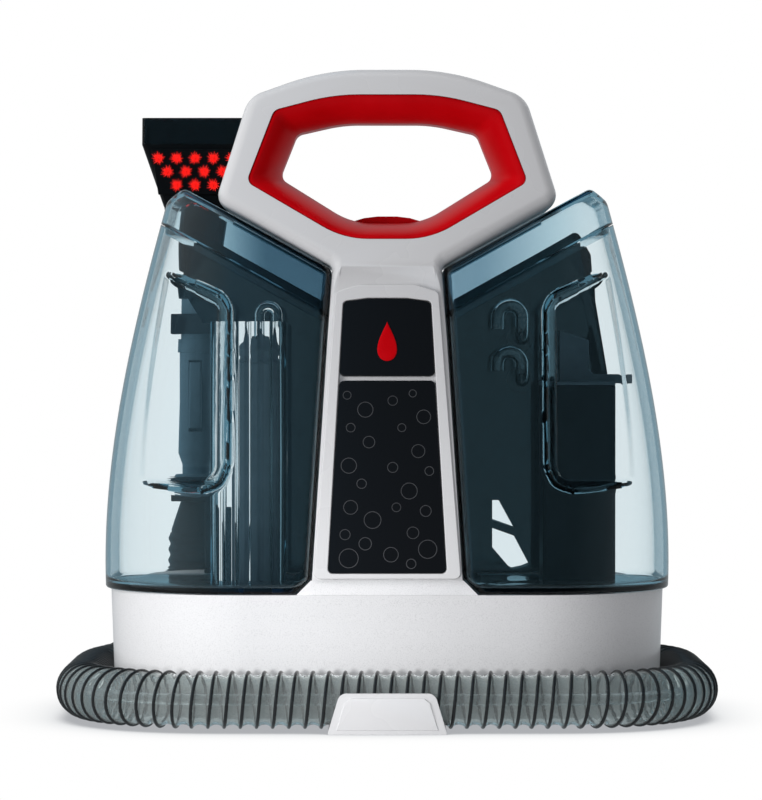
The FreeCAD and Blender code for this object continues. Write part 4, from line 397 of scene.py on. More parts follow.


# %% [markdown]
# ## One list of finishes
# A machine like this is moulded from a few plastics, so each finish is made once and kept under a short
# name. The pieces then share it, and a change of one tone changes every piece that has it.

# %% Collect the finishes by name
# Ramps for the lids, darker towards the column: painted shade where the dark housing behind shows through.
LEFT_LID_PAINTED_SHADE = [(0.0, (0.92, 0.97, 0.98)), (0.35, (0.55, 0.68, 0.74)), (0.6, (0.24, 0.35, 0.42))]
RIGHT_LID_PAINTED_SHADE = [(0.0, (0.95, 0.98, 0.99)), (0.35, (0.72, 0.82, 0.86)), (0.75, (0.46, 0.58, 0.65))]
FINISHES = {
    "white": white_plastic(),
    "flecked": flecked_plastic(),
    "red": red_soft(),
    "red_switch": red_soft("red_switch", rough=0.26),
    "panel": panel_black(),
    "black": moulded_plastic("black_moulding", (0.012, 0.013, 0.015), rough=0.42),
    "tool_black": moulded_plastic("tool_moulding", (0.003, 0.0035, 0.004), rough=0.3, grain=0.12, shine=0.1),
    "charcoal": moulded_plastic("charcoal_moulding", (0.007, 0.011, 0.015), rough=0.45, shine=0.06),
    "slate": moulded_plastic("slate_moulding", (0.085, 0.145, 0.185), rough=0.45),
    "grey": moulded_plastic("grey_moulding", (0.34, 0.48, 0.57), rough=0.4),
    "pale": moulded_plastic("pale_moulding", (0.55, 0.57, 0.58), rough=0.4),
    "rubber": moulded_plastic("black_rubber", (0.016, 0.016, 0.017), rough=0.7, grain=0.4),
    "clean": tank_plastic("clear_blue_tank", WALL_DENSITY),
    "dirty": tank_plastic("smoked_blue_tank", WALL_DENSITY),
    "clean_lid": lid_with_painted_shade("clear_lid_left", LEFT_LID_PAINTED_SHADE),
    "dirty_lid": lid_with_painted_shade("clear_lid_right", RIGHT_LID_PAINTED_SHADE),
    "inner": tank_plastic("inner_clear", INNER_DENSITY, rough=0.03),
    "window": clear_plastic("window_clear", (0.85, 0.87, 0.88), rough=0.03, index=1.2),
    "tube": clear_plastic("soft_tube", (0.9, 0.92, 0.92), rough=0.2),
    "steel": drawn_steel(),
    "tuft": nylon_painted_glow("red_nylon", (0.9, 0.02, 0.012)),
}
print("finishes:", len(FINISHES))

# %% [markdown]
# ## Which piece gets which finish
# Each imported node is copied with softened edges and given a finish. The width of the edge rounding, in
# millimetres, follows the size of the piece: half a millimetre on a housing, less on small or thin pieces,
# and none where the solid already has its round form.

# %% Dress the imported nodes
DRESS = {
    "white": {"front_housing": 0.5, "rear_handle": 0.5, "panel_bezel": 0.6, "front_hose_clip": 0.6,
              "rear_hose_clip": 0.6},
    "flecked": {"base_shell": 0.6},
    "red_switch": {"power_switch": 0.8},
    "panel": {"upper_panel": 0.3, "lower_panel": 0.3},
    "black": {"bottom_plate": 0.3, "tool_holder": 0.6, "wand_rest": 0.6, "cord_hook_fixed": 0.8,
              "cord_hook_swivel": 0.8, "exhaust_grille": 0.2, "tank_socket": 0.4, "tank_cap": 0.3,
              "hose_port": 0.3, "machine_cuff": 0.3, "wand_cuff": 0.3, "switch_body": 0.0,
              "fan_case": 0.3, "pump": 0.4},
    "charcoal": {"rear_housing": 0.6, "separator_box": 0.5},
    "slate": {"splash_guard": 0.4, "wand_shell_left": 0.4, "wand_shell_right": 0.4,
              "trigger": 0.3, "release_button": 0.4},
    "tool_black": {"tool_body": 0.4, "brush_plate": 0.4},
    "grey": {"pickup_filter": 0.3, "float_rod": 0.0, "spray_tip": 0.2},
    "pale": {"tank_float": 0.4},
    "rubber": {"rubber_feet": 0.4, "cord_gland": 0.3, "motor_mount": 0.3, "port_gaskets": 0.2,
               "outlet_valve": 0.0},
    "inner": {"vent_tube": 0.0, "intake_elbow": 0.0, "outlet_elbow": 0.0},
    "window": {"nozzle_window": 0.3},
    "tube": {"pump_tubes": 0.0, "solution_tube": 0.0},
    "steel": {"vacuum_motor": 0.4, "fan_impeller": 0.0, "base_screws": 0.0, "housing_screws": 0.3},
}
for finish, widths in DRESS.items():
    for node, width in widths.items():
        softened(node, width).data.materials.append(FINISHES[finish])
print("dressed nodes:", sum(len(widths) for widths in DRESS.values()))

# %% [markdown]
# ## Outlines with round corners
# The red lining and the hole that it frames are both eight-sided and alike on both sides. So an outline is
# given by the corners of one half, each with its place and radius. Both outlines have the same number of
# points on each corner, so a point of one has its partner on the other.

# %% Round the corners of an outline
CORNER_STEPS = (40, 14, 14, 18)
SIDE_STEPS = 10


def joined(runs, between):
    """A ring of runs, with so many even steps on the straight way from the end of each to the next."""
    parts = []
    for index, (run, count) in enumerate(zip(runs, between)):
        share = np.linspace(0, 1, count + 2)[1:-1].reshape(-1, *[1] * (run.ndim - 1))
        parts += [run, run[-1] * (1 - share) + runs[(index + 1) % len(runs)][0] * share]
    return np.concatenate(parts)


def rounded_outline(half):
    """Points round an outline that is the same on both sides: each corner's arc, then the side after it."""
    corners = np.array(half + [(-x, z, radius) for x, z, radius in reversed(half)], float)
    spots = corners[:, :2]
    arcs = []
    for index, count in enumerate([*CORNER_STEPS, *reversed(CORNER_STEPS)]):
        spot, radius = spots[index], corners[index, 2]
        before, after = spots[index - 1] - spot, spots[(index + 1) % len(spots)] - spot
        before, after = before / np.linalg.norm(before), after / np.linalg.norm(after)
        middle = (before + after) / np.linalg.norm(before + after)
        half_angle = math.acos(float(np.clip(before @ after, -1, 1))) / 2
        centre = spot + middle * radius / math.sin(half_angle)
        swing = math.pi / 2 - half_angle
        side = np.array([-middle[1], middle[0]])
        side = side if side @ before > 0 else -side
        angle = np.linspace(swing, -swing, count)[:, None]
        arcs.append(centre - middle * radius * np.cos(angle) + side * radius * np.sin(angle))
    return joined(arcs, [SIDE_STEPS] * len(arcs))


# %% [markdown]
# ## The rolled grip
# The lining rolls from the front of the handle down to the hole and back out behind. A profile goes from
# each point of the outer outline to its partner on the hole. It is a mix of a straight line and a quarter of
# an ellipse, which makes the soft roll. Where the switch stands, the middle of the profile drops into a
# pocket that leaves it room to rock.

# %% Roll the grip from face to face
CREASE = math.radians(50)
HANDLE_FRONT = (-60.77, math.tan(math.radians(18.2)), 1.05)
HANDLE_BACK = (42.0, -math.tan(math.radians(9.0)), -1.01)
NECK = 252.0
HOLE = [(20, 278, 40), (61, 303.5, 6), (51, 328.5, 6), (25, 334.4, 80)]
HOLE_WAIST = 292.0
HOLE_LAND = 9.0
GRIP = [(24, 267.3, 50), (78.5, 299.5, 5), (63.5, 340.5, 6), (30, 349.5, 110)]
GRIP_INWARD = [(-1, 1), (-1.2, 0), (-1.2, -0.8), (-1, -1)]
GRIP_RIM = [(0.1, 0.6), (0.28, 0.15), (0.7, 0.0)]
GRIP_MOUTH = 1.3
ROLL_ROWS = 18
ROLL_STRAIGHT = 0.45
SWITCH_HALF, SWITCH_DEEP, SWITCH_FLOOR = 20.0, 9.1, 267.7


def grip_outline(inset):
    """The outline that the grip fills in the white handle; an inset moves each corner its own way in."""
    return rounded_outline([(x + inset * in_x, z + inset * in_z, radius)
                            for (x, z, radius), (in_x, in_z) in zip(GRIP, GRIP_INWARD)])


def on_face(outline, face, below=0.0):
    """An outline laid a little below a face of the handle: its place at the neck, its lean and an inset."""
    place, lean, inset = face
    y = place + (outline[:, 1] - NECK) * lean + inset + below * math.copysign(1.0, inset)
    return np.stack([outline[:, 0], y, outline[:, 1]], -1)


def rolled(face, level):
    """Rows from the outer wall over the rim and down the roll to the land at a level."""
    rim = [on_face(grip_outline(inset), face, below) for inset, below in GRIP_RIM]
    mouth = on_face(grip_outline(GRIP_MOUTH), face)
    hole = rounded_outline(HOLE)
    throat = np.stack([hole[:, 0], np.full(len(hole), level), hole[:, 1]], -1)
    turn = np.linspace(0, math.pi / 2, ROLL_ROWS)[:, None, None]
    straight = ROLL_STRAIGHT * turn / (math.pi / 2)
    inward = straight + (1 - ROLL_STRAIGHT) * np.sin(turn)
    down = straight + (1 - ROLL_STRAIGHT) * (1 - np.cos(turn))
    mix = np.concatenate([inward, down, inward], -1)
    return np.concatenate([rim, mouth * (1 - mix) + throat * mix])


def grip():
    """The front's rows, four rows through the hole with the switch's pocket, and the back's rows."""
    front, back = rolled(HANDLE_FRONT, -HOLE_LAND), rolled(HANDLE_BACK, HOLE_LAND)[::-1]
    pocket = np.repeat(front[-1:], 4, 0)
    pocket[:, :, 1] = np.array([-1, -1, 1, 1])[:, None] * SWITCH_DEEP
    inside = (np.abs(pocket[1, :, 0]) < SWITCH_HALF) & (pocket[1, :, 2] < HOLE_WAIST)
    pocket[1:3, inside, 2] = SWITCH_FLOOR
    points = np.concatenate([front, pocket, back])
    return add_piece("rolled_grip", points * MM, grid_faces(*points.shape[:2], close_rows=True))


grip_piece = finished(grip(), FINISHES["red"])
grip_piece.data.set_sharp_from_angle(angle=CREASE)
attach(grip_piece, frame["nodes"]["handle_grip"]["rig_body"])
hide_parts("handle_grip")
print("faces of the grip:", len(grip_piece.data.polygons))

# %% [markdown]
# ## The plan of a tank
# Clear plastic shows every facet, because each one bends the light its own way. So the tanks and their lids
# are made again on a fine grid. At any height a tank's plan is a rectangle with four rounded corners. A point
# of that outline is a fixed mix of the plan's sides and corner radii, so one table of weights, worked out
# once, gives the whole outline at any height and for either face of the wall.

# %% Weigh the sides and radii for each point of the outline
ARC_POINTS = {"front_inner": 8, "front_outer": 120, "rear_outer": 26, "rear_inner": 8}
SIDE_POINTS = (44, 16, 10, 12)


def outline_weights():
    """Weights of outer, inner, front radius, rear radius, inner radius for x, and of front, rear and the
    same radii for y. A corner's point is its centre plus the radius times the cosine and sine of an angle."""
    corners = [
        ("front_inner", (0, -1, 0, 0, -1), (1, 0, 0, 0, 1), 4, 0, -90),
        ("front_outer", (-1, 0, 1, 0, 0), (1, 0, 1, 0, 0), 2, -90, -180),
        ("rear_outer", (-1, 0, 0, 1, 0), (0, 1, 0, -1, 0), 3, 180, 90),
        ("rear_inner", (0, -1, 0, 0, -1), (0, 1, 0, 0, -1), 4, 90, 0),
    ]
    runs = []
    for name, across, along, radius, start, end in corners:
        angle = np.radians(np.linspace(start, end, ARC_POINTS[name]))
        mix = np.tile(np.array([across, along], float), (len(angle), 1, 1))
        mix[:, 0, radius] += np.cos(angle)
        mix[:, 1, radius] += np.sin(angle)
        runs.append(mix)
    return joined(runs, SIDE_POINTS)


OUTLINE = outline_weights()
print("points round a tank:", len(OUTLINE))

# %% [markdown]
# ## Where a tank's sides stand
# A tank leans on the column, so its inner side and its front follow the column's. Its outer side bulges: a
# cubic through four measured widths gives that curve. The radii shrink evenly towards the top.

# %% Place the outline at a height
COLUMN_HALF, COLUMN_TAPER = 41.0, 10.6 / 171.4
FLARE_HALF, FLARE_FOOT = 50.2, 72.0
COLUMN_GAP, FRONT_BACK = 0.6, 3.0
TANK_FLOOR = 72.4
TANK_REAR = 60.0
TANK_WALL = 2.5
TANK_LEVELS = np.array([72.4, 150.0, 214.0, 302.0])
TANK_OUTER = np.array([158.7, 155.0, 143.8, 121.5])
OUTER_CURVE = np.polyfit(TANK_LEVELS, TANK_OUTER, 3)
FRONT_ROUND, REAR_ROUND = (72.0, 44.0), (36.0, 24.0)
INNER_ROUND, LEAST_ROUND = 5.0, 1.0
SETTLE_STEPS = 12


def column_half(z):
    """Half the column's width: it narrows evenly upwards, and flares to the base below its foot."""
    return np.maximum(COLUMN_HALF - (z - COLUMN_FOOT[2]) * COLUMN_TAPER, FLARE_HALF - (z - FLARE_FOOT))


def column_front(z):
    """How far forward the leaning front of the column stands at a height."""
    return COLUMN_FOOT[1] + (z - COLUMN_FOOT[2]) * math.tan(COLUMN_LEAN)


def tank_plan(z, inset):
    """Outline points of the left tank at an array of heights, one column of it per outline point."""
    share = (z - TANK_LEVELS[0]) / (TANK_LEVELS[3] - TANK_LEVELS[0])
    outer = np.polyval(OUTER_CURVE, z) - inset
    inner = column_half(z) + COLUMN_GAP + inset
    front = column_front(z) + FRONT_BACK / math.cos(COLUMN_LEAN) + inset
    rear = np.full_like(z, TANK_REAR) - inset
    radii = [low + (high - low) * share - inset for low, high in (FRONT_ROUND, REAR_ROUND)]
    radii.append(np.maximum(INNER_ROUND - inset, LEAST_ROUND) + 0 * z)
    weigh_x, weigh_y = OUTLINE[:, 0].T, OUTLINE[:, 1].T
    x = sum(weight * size for weight, size in zip(weigh_x, [outer, inner, *radii]))
    y = sum(weight * size for weight, size in zip(weigh_y, [front, rear, *radii]))
    return x, y, front


def settle(plane, inset, start):
    """Heights at which each column of the outline meets a sloping plane, found by stepping towards it."""
    z = np.full((1, len(OUTLINE)), start)
    for step in range(SETTLE_STEPS):
        z = plane(-tank_plan(z, inset)[0])
    return z


# %% [markdown]
# ## The finger recess
# A scoop in the tank's front corner takes the fingers that lift it. Its outline has four straight sides with
# round corners. The depth follows from the distance inside that outline, by a curve that starts and ends
# level, so the wall of the scoop rolls over at both edges. Those two rolls are what draw the bright and dark
# band round the recess. Where the tank's own corner already lies deeper, the deeper surface wins.

# %% Press the recess into the tank's front
LID_SLOPE = math.tan(math.radians(29.0))
RECESS_IN, RECESS_TOP, RECESS_LOW, RECESS_TURN = 87.5, 234.0, 128.0, 136.0
RECESS_DEEP, RECESS_DRAFT, RECESS_ROUND = 17.0, 7.0, 8.0
RECESS_BLEND, BLEND_SHARE, LEAST_BLEND = 1.6, 0.6, 1e-6


def inside_recess(x, z, grow):
    """Distance inside the outline: a radius less the length of the shortfalls from its four sides."""
    across = -x - RECESS_IN
    sides = [across, (RECESS_TOP + across * LID_SLOPE - z) / math.hypot(1, LID_SLOPE), z - RECESS_LOW,
             (across + z - RECESS_TURN) / math.sqrt(2)]
    short = sum(np.maximum(RECESS_ROUND - side - grow, 0) ** 2 for side in sides)
    return RECESS_ROUND - np.sqrt(short)


def eased(gap, blend):
    """Room to leave where two surfaces cross: a quarter of the blend at no gap, down to none at the blend."""
    near = np.maximum(blend - np.abs(gap), 0) / blend
    return near * near * blend / 4


def pressed_in(x, y, z, front, grow):
    """The deeper of the plain wall and the scoop's floor, blended where the two meet."""
    share = np.clip(inside_recess(x, z, grow) / RECESS_DRAFT, 0, 1)
    deep = RECESS_DEEP * share * share * (3 - 2 * share)
    floor = front + deep
    return np.maximum(y, floor) + eased(floor - y, np.minimum(RECESS_BLEND, deep * BLEND_SHARE) + LEAST_BLEND)


# %% [markdown]
# ## The tank's wall
# The outside and the inside are the same surface at two insets. Each rolls up from the floor in a quarter
# circle and ends at the sloping seam. The inside follows the outside in reverse, which closes the rim, and a
# face over each end closes the floor. The right tank is the left one mirrored.

# %% Stack the outlines into a walled tank
SEAM_START, SEAM_HEIGHT, SEAM_GUESS = 30.4, 222.9, 230.0
FOOT_ROWS, WALL_ROWS = 6, 150
FOOT_OUTSIDE, FOOT_INSIDE = 1.6, 4.0


def seam_plane(away):
    return SEAM_HEIGHT + (away - SEAM_START) * LID_SLOPE


def wall_rows(inset, low, roll):
    """One face of the wall, from a rolled foot up to the seam."""
    angle = np.linspace(0, math.pi / 2, FOOT_ROWS)[:-1, None]
    top = settle(seam_plane, inset, SEAM_GUESS)
    rise = np.linspace(0, 1, WALL_ROWS)[:, None]
    foot_z = low + roll * (1 - np.cos(angle)) + 0 * top
    foot_in = inset + roll * (1 - np.sin(angle)) + 0 * top
    z = np.concatenate([foot_z, low + roll + rise * (top - low - roll)])
    inward = np.concatenate([foot_in, np.full((WALL_ROWS, z.shape[1]), float(inset))])
    x, y, front = tank_plan(z, inward)
    return np.stack([x, pressed_in(x, y, z, front, inset), z], -1)


def clear_piece(name, points, node, body, finish):
    """A closed grid of points in millimetres, turned outwards and given a finish, in place of a node."""
    piece = finished(add_piece(name, points * MM, capped_faces(*points.shape[:2])), FINISHES[finish])
    piece.data.set_sharp_from_angle(angle=CREASE)
    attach(piece, body)
    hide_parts(node)
    return piece


MIRROR = np.array([-1.0, 1.0, 1.0])
tank_points = np.concatenate([wall_rows(0.0, TANK_FLOOR, FOOT_OUTSIDE),
                              wall_rows(TANK_WALL, TANK_FLOOR + TANK_WALL, FOOT_INSIDE)[::-1]])
tank = clear_piece("clean_tank_clear", tank_points, "clean_tank", "clean_tank_body", "clean")
clear_piece("dirty_tank_clear", tank_points * MIRROR, "dirty_tank", "dirty_tank_body", "dirty")
print("faces in a tank:", len(tank.data.polygons))

# %% [markdown]
# ## The lids
# A lid carries the tank's outline on up to a sloping top that turns down at its outer end. Its top has a
# raised border, and a lip under the seam drops into the tank. All of this is one closed profile. It starts
# in the middle of the hollow, goes out and down to the lip, up the outside and back in over the top.

# %% Follow the lid's profile
LID_START, LID_TOP = 33.4, 251.9
LID_PEAK, LID_RIDGE = 114.0, 3.0
LID_END = math.tan(math.radians(31.0))
LID_MIDDLE = np.array([-84.0, -4.0])
LID_GUESS = 260.0
LID_ROLL = 1.6
LID_SEAM_GAP, HOLLOW_EDGE, HOLLOW_LIFT = 0.4, 2.0, 2.0
LID_WALL_ROWS, LID_HOLLOW_ROWS = 22, 14
LIP_ROWS = [(TANK_WALL * 2, 1.2), (TANK_WALL * 2, -4.0), (TANK_WALL + 0.3, -4.0), (TANK_WALL + 0.3, 0.3)]
BORDER_ROWS = [(0.5, 0.35), (0.0, 1.4), (0.0, 6.0), (0.7, 6.5), (1.2, 7.4)]
FIELD_SHARES = [0.1, 0.4, 0.7, 0.96]


def lid_plane(drop):
    """The lid's top less a drop: the lower of its slope and of its end, with the ridge between rounded."""
    def plane(away):
        rise = LID_TOP + (away - LID_START) * LID_SLOPE
        end = LID_TOP + (LID_PEAK - LID_START) * LID_SLOPE - (away - LID_PEAK) * LID_END
        return np.minimum(rise, end) - eased(rise - end, LID_RIDGE) - drop
    return plane


def lid_ring(plane, inset, lift=0.0):
    """The outline, drawn in by an inset, where it meets a plane."""
    z = settle(plane, inset, LID_GUESS)
    x, y, front = tank_plan(z, np.full_like(z, inset))
    return np.stack([x, y, z + lift], -1)


def drawn_in(ring, plane, shares):
    """The ring shrunk towards the lid's middle by shares, on a plane."""
    share = np.asarray(shares)[:, None, None]
    flat = ring[..., :2] * (1 - share) + LID_MIDDLE * share
    return np.concatenate([flat, plane(-flat[..., :1])], -1)


def lid_side(inset, low_lift, drop, rows):
    """The lid's wall between the seam and the top, at an inset."""
    low, high = lid_ring(seam_plane, inset, low_lift), lid_ring(lid_plane(drop), inset)
    share = np.linspace(0, 1, rows)[:, None]
    z = low[..., 2] * (1 - share) + high[..., 2] * share
    x, y, front = tank_plan(z, np.full_like(z, inset))
    return np.stack([x, y, z], -1)


def lid_profile():
    """Rows of points; the lip's are pairs of an inset and a lift, the border's of a drop and an inset."""
    roof = lid_plane(TANK_WALL)
    hollow = drawn_in(lid_ring(roof, TANK_WALL + HOLLOW_EDGE), roof, [*reversed(FIELD_SHARES), 0.0])
    inner_wall = lid_side(TANK_WALL, HOLLOW_LIFT, TANK_WALL + LID_ROLL, LID_HOLLOW_ROWS)[::-1]
    lip = [lid_ring(seam_plane, inset, lift) for inset, lift in LIP_ROWS]
    outer_wall = lid_side(0.0, LID_SEAM_GAP, LID_ROLL, LID_WALL_ROWS)
    border = [lid_ring(lid_plane(drop), inset) for drop, inset in BORDER_ROWS]
    field = drawn_in(border[-1], lid_plane(BORDER_ROWS[-1][0]), FIELD_SHARES)
    return np.concatenate([hollow, inner_wall, *lip, outer_wall, *border, field])


lid_points = lid_profile()
lid = clear_piece("clean_lid_clear", lid_points, "clean_tank_lid", "clean_tank_body", "clean_lid")
clear_piece("dirty_lid_clear", lid_points * MIRROR, "dirty_tank_lid", "dirty_tank_body", "dirty_lid")
print("faces in a lid:", len(lid.data.polygons))

# %% [markdown]
# ## The filter channel
# A ribbed channel of clear plastic stands round the filter. Its plan is a U with round corners, open at the
# back. The wall is a small upright section carried along that U, and it thickens to a half-round rib at five
# places on the front.

# %% Carry the channel's wall along its plan
CHANNEL_LEFT, CHANNEL_RIGHT, CHANNEL_DEEP = -99.8, -57.0, 22.0
CHANNEL_LOW, CHANNEL_TOP = 74.9, 222.0
CHANNEL_WALL, CHANNEL_RIB, CHANNEL_RIBS = 1.8, 1.7, 5
CHANNEL_ROUND, CORNER_POINTS, CHANNEL_STEPS = 5.0, 24, 220
WALL_SECTION = [(0.0, 0.5), (0.15, 0.0), (0.85, 0.0), (1.0, 0.5),
                (1.0, -0.5), (0.85, 0.0), (0.15, 0.0), (0.0, -0.5)]


def evenly_along(line, count):
    """Points at even distances along a line, their headings, and their distances from its start."""
    lengths = np.r_[0.0, np.cumsum(np.linalg.norm(np.diff(line, axis=0), axis=1))]
    along = np.linspace(0.0, lengths[-1], count)
    points = np.stack([np.interp(along, lengths, axis) for axis in line.T], 1)
    heading = np.gradient(points, axis=0)
    return points, heading / np.linalg.norm(heading, axis=1, keepdims=True), along


def channel_plan():
    """Evenly spaced points and outward directions along a U of two arms, two quarter arcs and a front."""
    quarter = np.linspace(0, math.pi / 2, CORNER_POINTS)
    sunk, swung = CHANNEL_ROUND * (1 - np.cos(quarter)), CHANNEL_ROUND * (1 - np.sin(quarter))
    left = np.stack([CHANNEL_LEFT + sunk, swung - CHANNEL_DEEP], 1)
    right = np.stack([CHANNEL_RIGHT - swung, sunk - CHANNEL_DEEP], 1)
    line = np.concatenate([[[CHANNEL_LEFT, CHANNEL_DEEP]], left, right, [[CHANNEL_RIGHT, CHANNEL_DEEP]]])
    points, heading, along = evenly_along(line, CHANNEL_STEPS)
    return points, np.stack([heading[:, 1], -heading[:, 0]], 1)


def channel():
    """Plan point, plus the outward direction times an offset that swells by a cosine bump at each rib."""
    line, outward = channel_plan()
    ribs = CHANNEL_LEFT + (CHANNEL_RIGHT - CHANNEL_LEFT) * np.arange(1, CHANNEL_RIBS + 1) / (CHANNEL_RIBS + 1)
    near = np.clip(np.abs(line[:, :1] - ribs[None]).min(1) / CHANNEL_RIB, 0, 1)
    swell = np.where(line[:, 1] < 1 - CHANNEL_DEEP, CHANNEL_RIB * np.cos(near * math.pi / 2), 0.0)
    edge, height = np.array(WALL_SECTION).T
    level = np.repeat([CHANNEL_LOW, CHANNEL_TOP], len(WALL_SECTION) // 2) + height
    offset = edge[None] * (CHANNEL_WALL + swell)[:, None] - CHANNEL_WALL
    flat = line[:, None] + outward[:, None] * offset[..., None]
    return np.concatenate([flat, np.broadcast_to(level, offset.shape)[..., None]], -1)


clear_piece("filter_channel", channel(), "tank_baffle", "clean_tank_body", "inner")
print("ribs of the channel:", CHANNEL_RIBS)

# %% [markdown]
# ## The hose
# The hose is a thin translucent skin over a black wire that winds round it. Its line leaves a port at the
# back, goes once round the base and rises to the wand. A NURBS curve that is steered by the given points
# of that route gives the line, and points read along it at even steps carry the two surfaces: the
# skin, whose radius swells at every turn of wire, and the wire itself.

# %% Read the hose's line from a curve
HOSE_ROUTE = [
    (40.3, 110, 17), (63.3, 110, 17), (125.5, 110, 17), (169.4, 66.1, 17), (169.4, 3.9, 17),
    (169.4, -3.9, 17), (169.4, -66.1, 17), (125.5, -110, 17), (63.3, -110, 17), (-63.3, -110, 17),
    (-125.5, -110, 17), (-169.4, -66.1, 17), (-169.4, -3.9, 17), (-169.4, 3.9, 17), (-169.4, 48.9, 17),
    (-160.5, 75.9, 17), (-142, 93.8, 23.4), (-124.8, 102.2, 37.6), (-114, 104, 58.6), (-114, 104, 97),
]
CURVE_ORDER, CURVE_STEPS = 3, 40
LEAST_GAP = 1e-7
HOSE_POINTS = 1227


def smooth_line(route, name):
    """Points along a smooth NURBS curve whose control points are a route, in metres."""
    data = bpy.data.curves.new(name, "CURVE")
    data.dimensions = "3D"
    data.resolution_u = CURVE_STEPS
    spline = data.splines.new("NURBS")
    spline.points.add(len(route) - 1)
    spline.points.foreach_set("co", np.c_[np.array(route) * MM, np.ones(len(route))].ravel())
    spline.order_u = CURVE_ORDER
    spline.use_endpoint_u = True
    holder = bpy.data.objects.new(name, data)
    bpy.context.scene.collection.objects.link(holder)
    mesh = bpy.data.meshes.new_from_object(holder)
    points = np.zeros(len(mesh.vertices) * 3)
    mesh.vertices.foreach_get("co", points)
    bpy.data.objects.remove(holder)
    bpy.data.meshes.remove(mesh)
    points = points.reshape(-1, 3)
    return points[np.r_[True, np.linalg.norm(np.diff(points, axis=0), axis=1) > LEAST_GAP]]


hose_points, hose_heading, hose_along = evenly_along(smooth_line(HOSE_ROUTE, "hose_line"), HOSE_POINTS)
print("hose length in mm:", round(hose_along[-1] / MM, 1))

# %% [markdown]
# ## Skin and wire of the hose
# Round each point of the line stands a circle in the plane square to the heading. One axis of that plane
# points away from the machine's middle, which never lines up with the heading, so the circles don't twist.
# The wire is a helix: as it goes along, its angle grows by a full turn for every pitch. The skin swells over
# it, so the skin's radius is a raised cosine of the turns along the hose less the share of a turn round it.

# %% Wind the wire and swell the skin over it
HOSE_ROOT, HOSE_CREST, HOSE_WALL = 13.4, 14.9, 1.2
HOSE_PITCH = 8.7
HOSE_SIDES = 40
SWELL_POWER = 1.6
WIRE_AT, WIRE_ROUND = 14.8, 0.95
WIRE_STEPS, WIRE_SIDES = 36, 8


def axes_round(points, heading):
    """Two directions square to the heading; the first points away from the machine's middle."""
    outward = points * np.array([1.0, 1.0, 0.0])
    upward = np.cross(outward, heading)
    upward /= np.linalg.norm(upward, axis=1, keepdims=True)
    return np.cross(heading, upward), upward


def circles_round(points, heading, radius):
    """Circles round a line: the centre plus the radius times the cosine and sine of each angle."""
    outward, upward = axes_round(points, heading)
    angle = np.linspace(0.0, 2 * math.pi, HOSE_SIDES, endpoint=False)[None, :, None]
    ring = outward[:, None] * np.cos(angle) + upward[:, None] * np.sin(angle)
    return points[:, None] + ring * np.broadcast_to(radius, ring.shape[:2])[..., None]


def walled_tube(name, points, heading, outer, inner):
    """A tube with a wall: out along its outside and back along its bore."""
    outside, bore = [circles_round(points, heading, radius) for radius in (outer, inner)]
    grid = np.concatenate([outside, bore[::-1]])
    return add_piece(name, grid, grid_faces(len(grid), HOSE_SIDES, close_rows=True))


def hose_skin(count):
    """The skin: its radius is a raised cosine of the turns along it less the share of a turn round it."""
    turns = hose_along / hose_along[-1] * count
    share = np.linspace(0.0, 1.0, HOSE_SIDES, endpoint=False)
    swell = (0.5 + 0.5 * np.cos(2 * math.pi * (turns[:, None] - share[None, :]))) ** SWELL_POWER
    outer = (HOSE_ROOT + (HOSE_CREST - HOSE_ROOT) * swell) * MM
    return walled_tube("hose_skin", hose_points, hose_heading, outer, outer - HOSE_WALL * MM)


def hose_wire(count):
    """A round wire along a helix, kept half a turn away from both ends of the hose."""
    turns = np.linspace(0.5, count - 0.5, (count - 1) * WIRE_STEPS)
    along = turns / count * hose_along[-1]
    centre, heading = [np.stack([np.interp(along, hose_along, source[:, axis]) for axis in range(3)], 1)
                       for source in (hose_points, hose_heading)]
    heading /= np.linalg.norm(heading, axis=1, keepdims=True)
    outward, upward = axes_round(centre, heading)
    angle = 2 * math.pi * turns[:, None]
    spoke = outward * np.cos(angle) + upward * np.sin(angle)
    small = np.linspace(0, 2 * math.pi, WIRE_SIDES, endpoint=False)[None, :, None]
    reach = (WIRE_AT + WIRE_ROUND * np.cos(small)) * MM
    points = centre[:, None] + spoke[:, None] * reach + heading[:, None] * np.sin(small) * WIRE_ROUND * MM
    return add_piece("hose_wire", points, capped_faces(len(turns), WIRE_SIDES))


turn_count = round(hose_along[-1] / MM / HOSE_PITCH)
wire_black = moulded_plastic("hose_wire_black", (0.01, 0.011, 0.012), rough=0.25, grain=0.1, shine=0.5)
skin = finished(hose_skin(turn_count), hose_plastic())
wire = finished(hose_wire(turn_count), wire_black)
for piece in (skin, wire):
    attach(piece, "machine")
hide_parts("hose")
print("turns of wire:", turn_count)

# %% [markdown]
# ## The sleeve under the wand
# Where the hose meets the wand a ribbed rubber sleeve keeps it from kinking. It follows the same line, a
# little wider than the hose, and its radius is a cosine of the distance along it.

# %% Sleeve the end of the hose
SLEEVE_LONG = 62.0
SLEEVE_IN, SLEEVE_OUT = 16.0, 17.2
SLEEVE_RIB, SLEEVE_RIBS = 0.6, 9


def wand_sleeve():
    """A walled tube with even ribs along the last stretch of the hose."""
    chosen = hose_along > hose_along[-1] - SLEEVE_LONG * MM
    share = np.linspace(0.0, 1.0, chosen.sum())[:, None]
    outer = (SLEEVE_OUT - SLEEVE_RIB * np.cos(2 * math.pi * SLEEVE_RIBS * share)) * MM
    return walled_tube("wand_sleeve", hose_points[chosen], hose_heading[chosen], outer, SLEEVE_IN * MM)


sleeve = finished(wand_sleeve(), FINISHES["black"])
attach(sleeve, frame["nodes"]["wand_cuff"]["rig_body"])
print("ribs of the sleeve:", SLEEVE_RIBS)

# %% [markdown]
# ## The tufts of the brush
# Each tuft is a bundle of stiff nylon fibres that fans out a little, so it looks like a small star from the
# front. A fibre is a thin four-sided spike from the brush plate to its own spot on a wider circle. The spots
# follow the sunflower rule, where each is turned by the golden angle from the last.

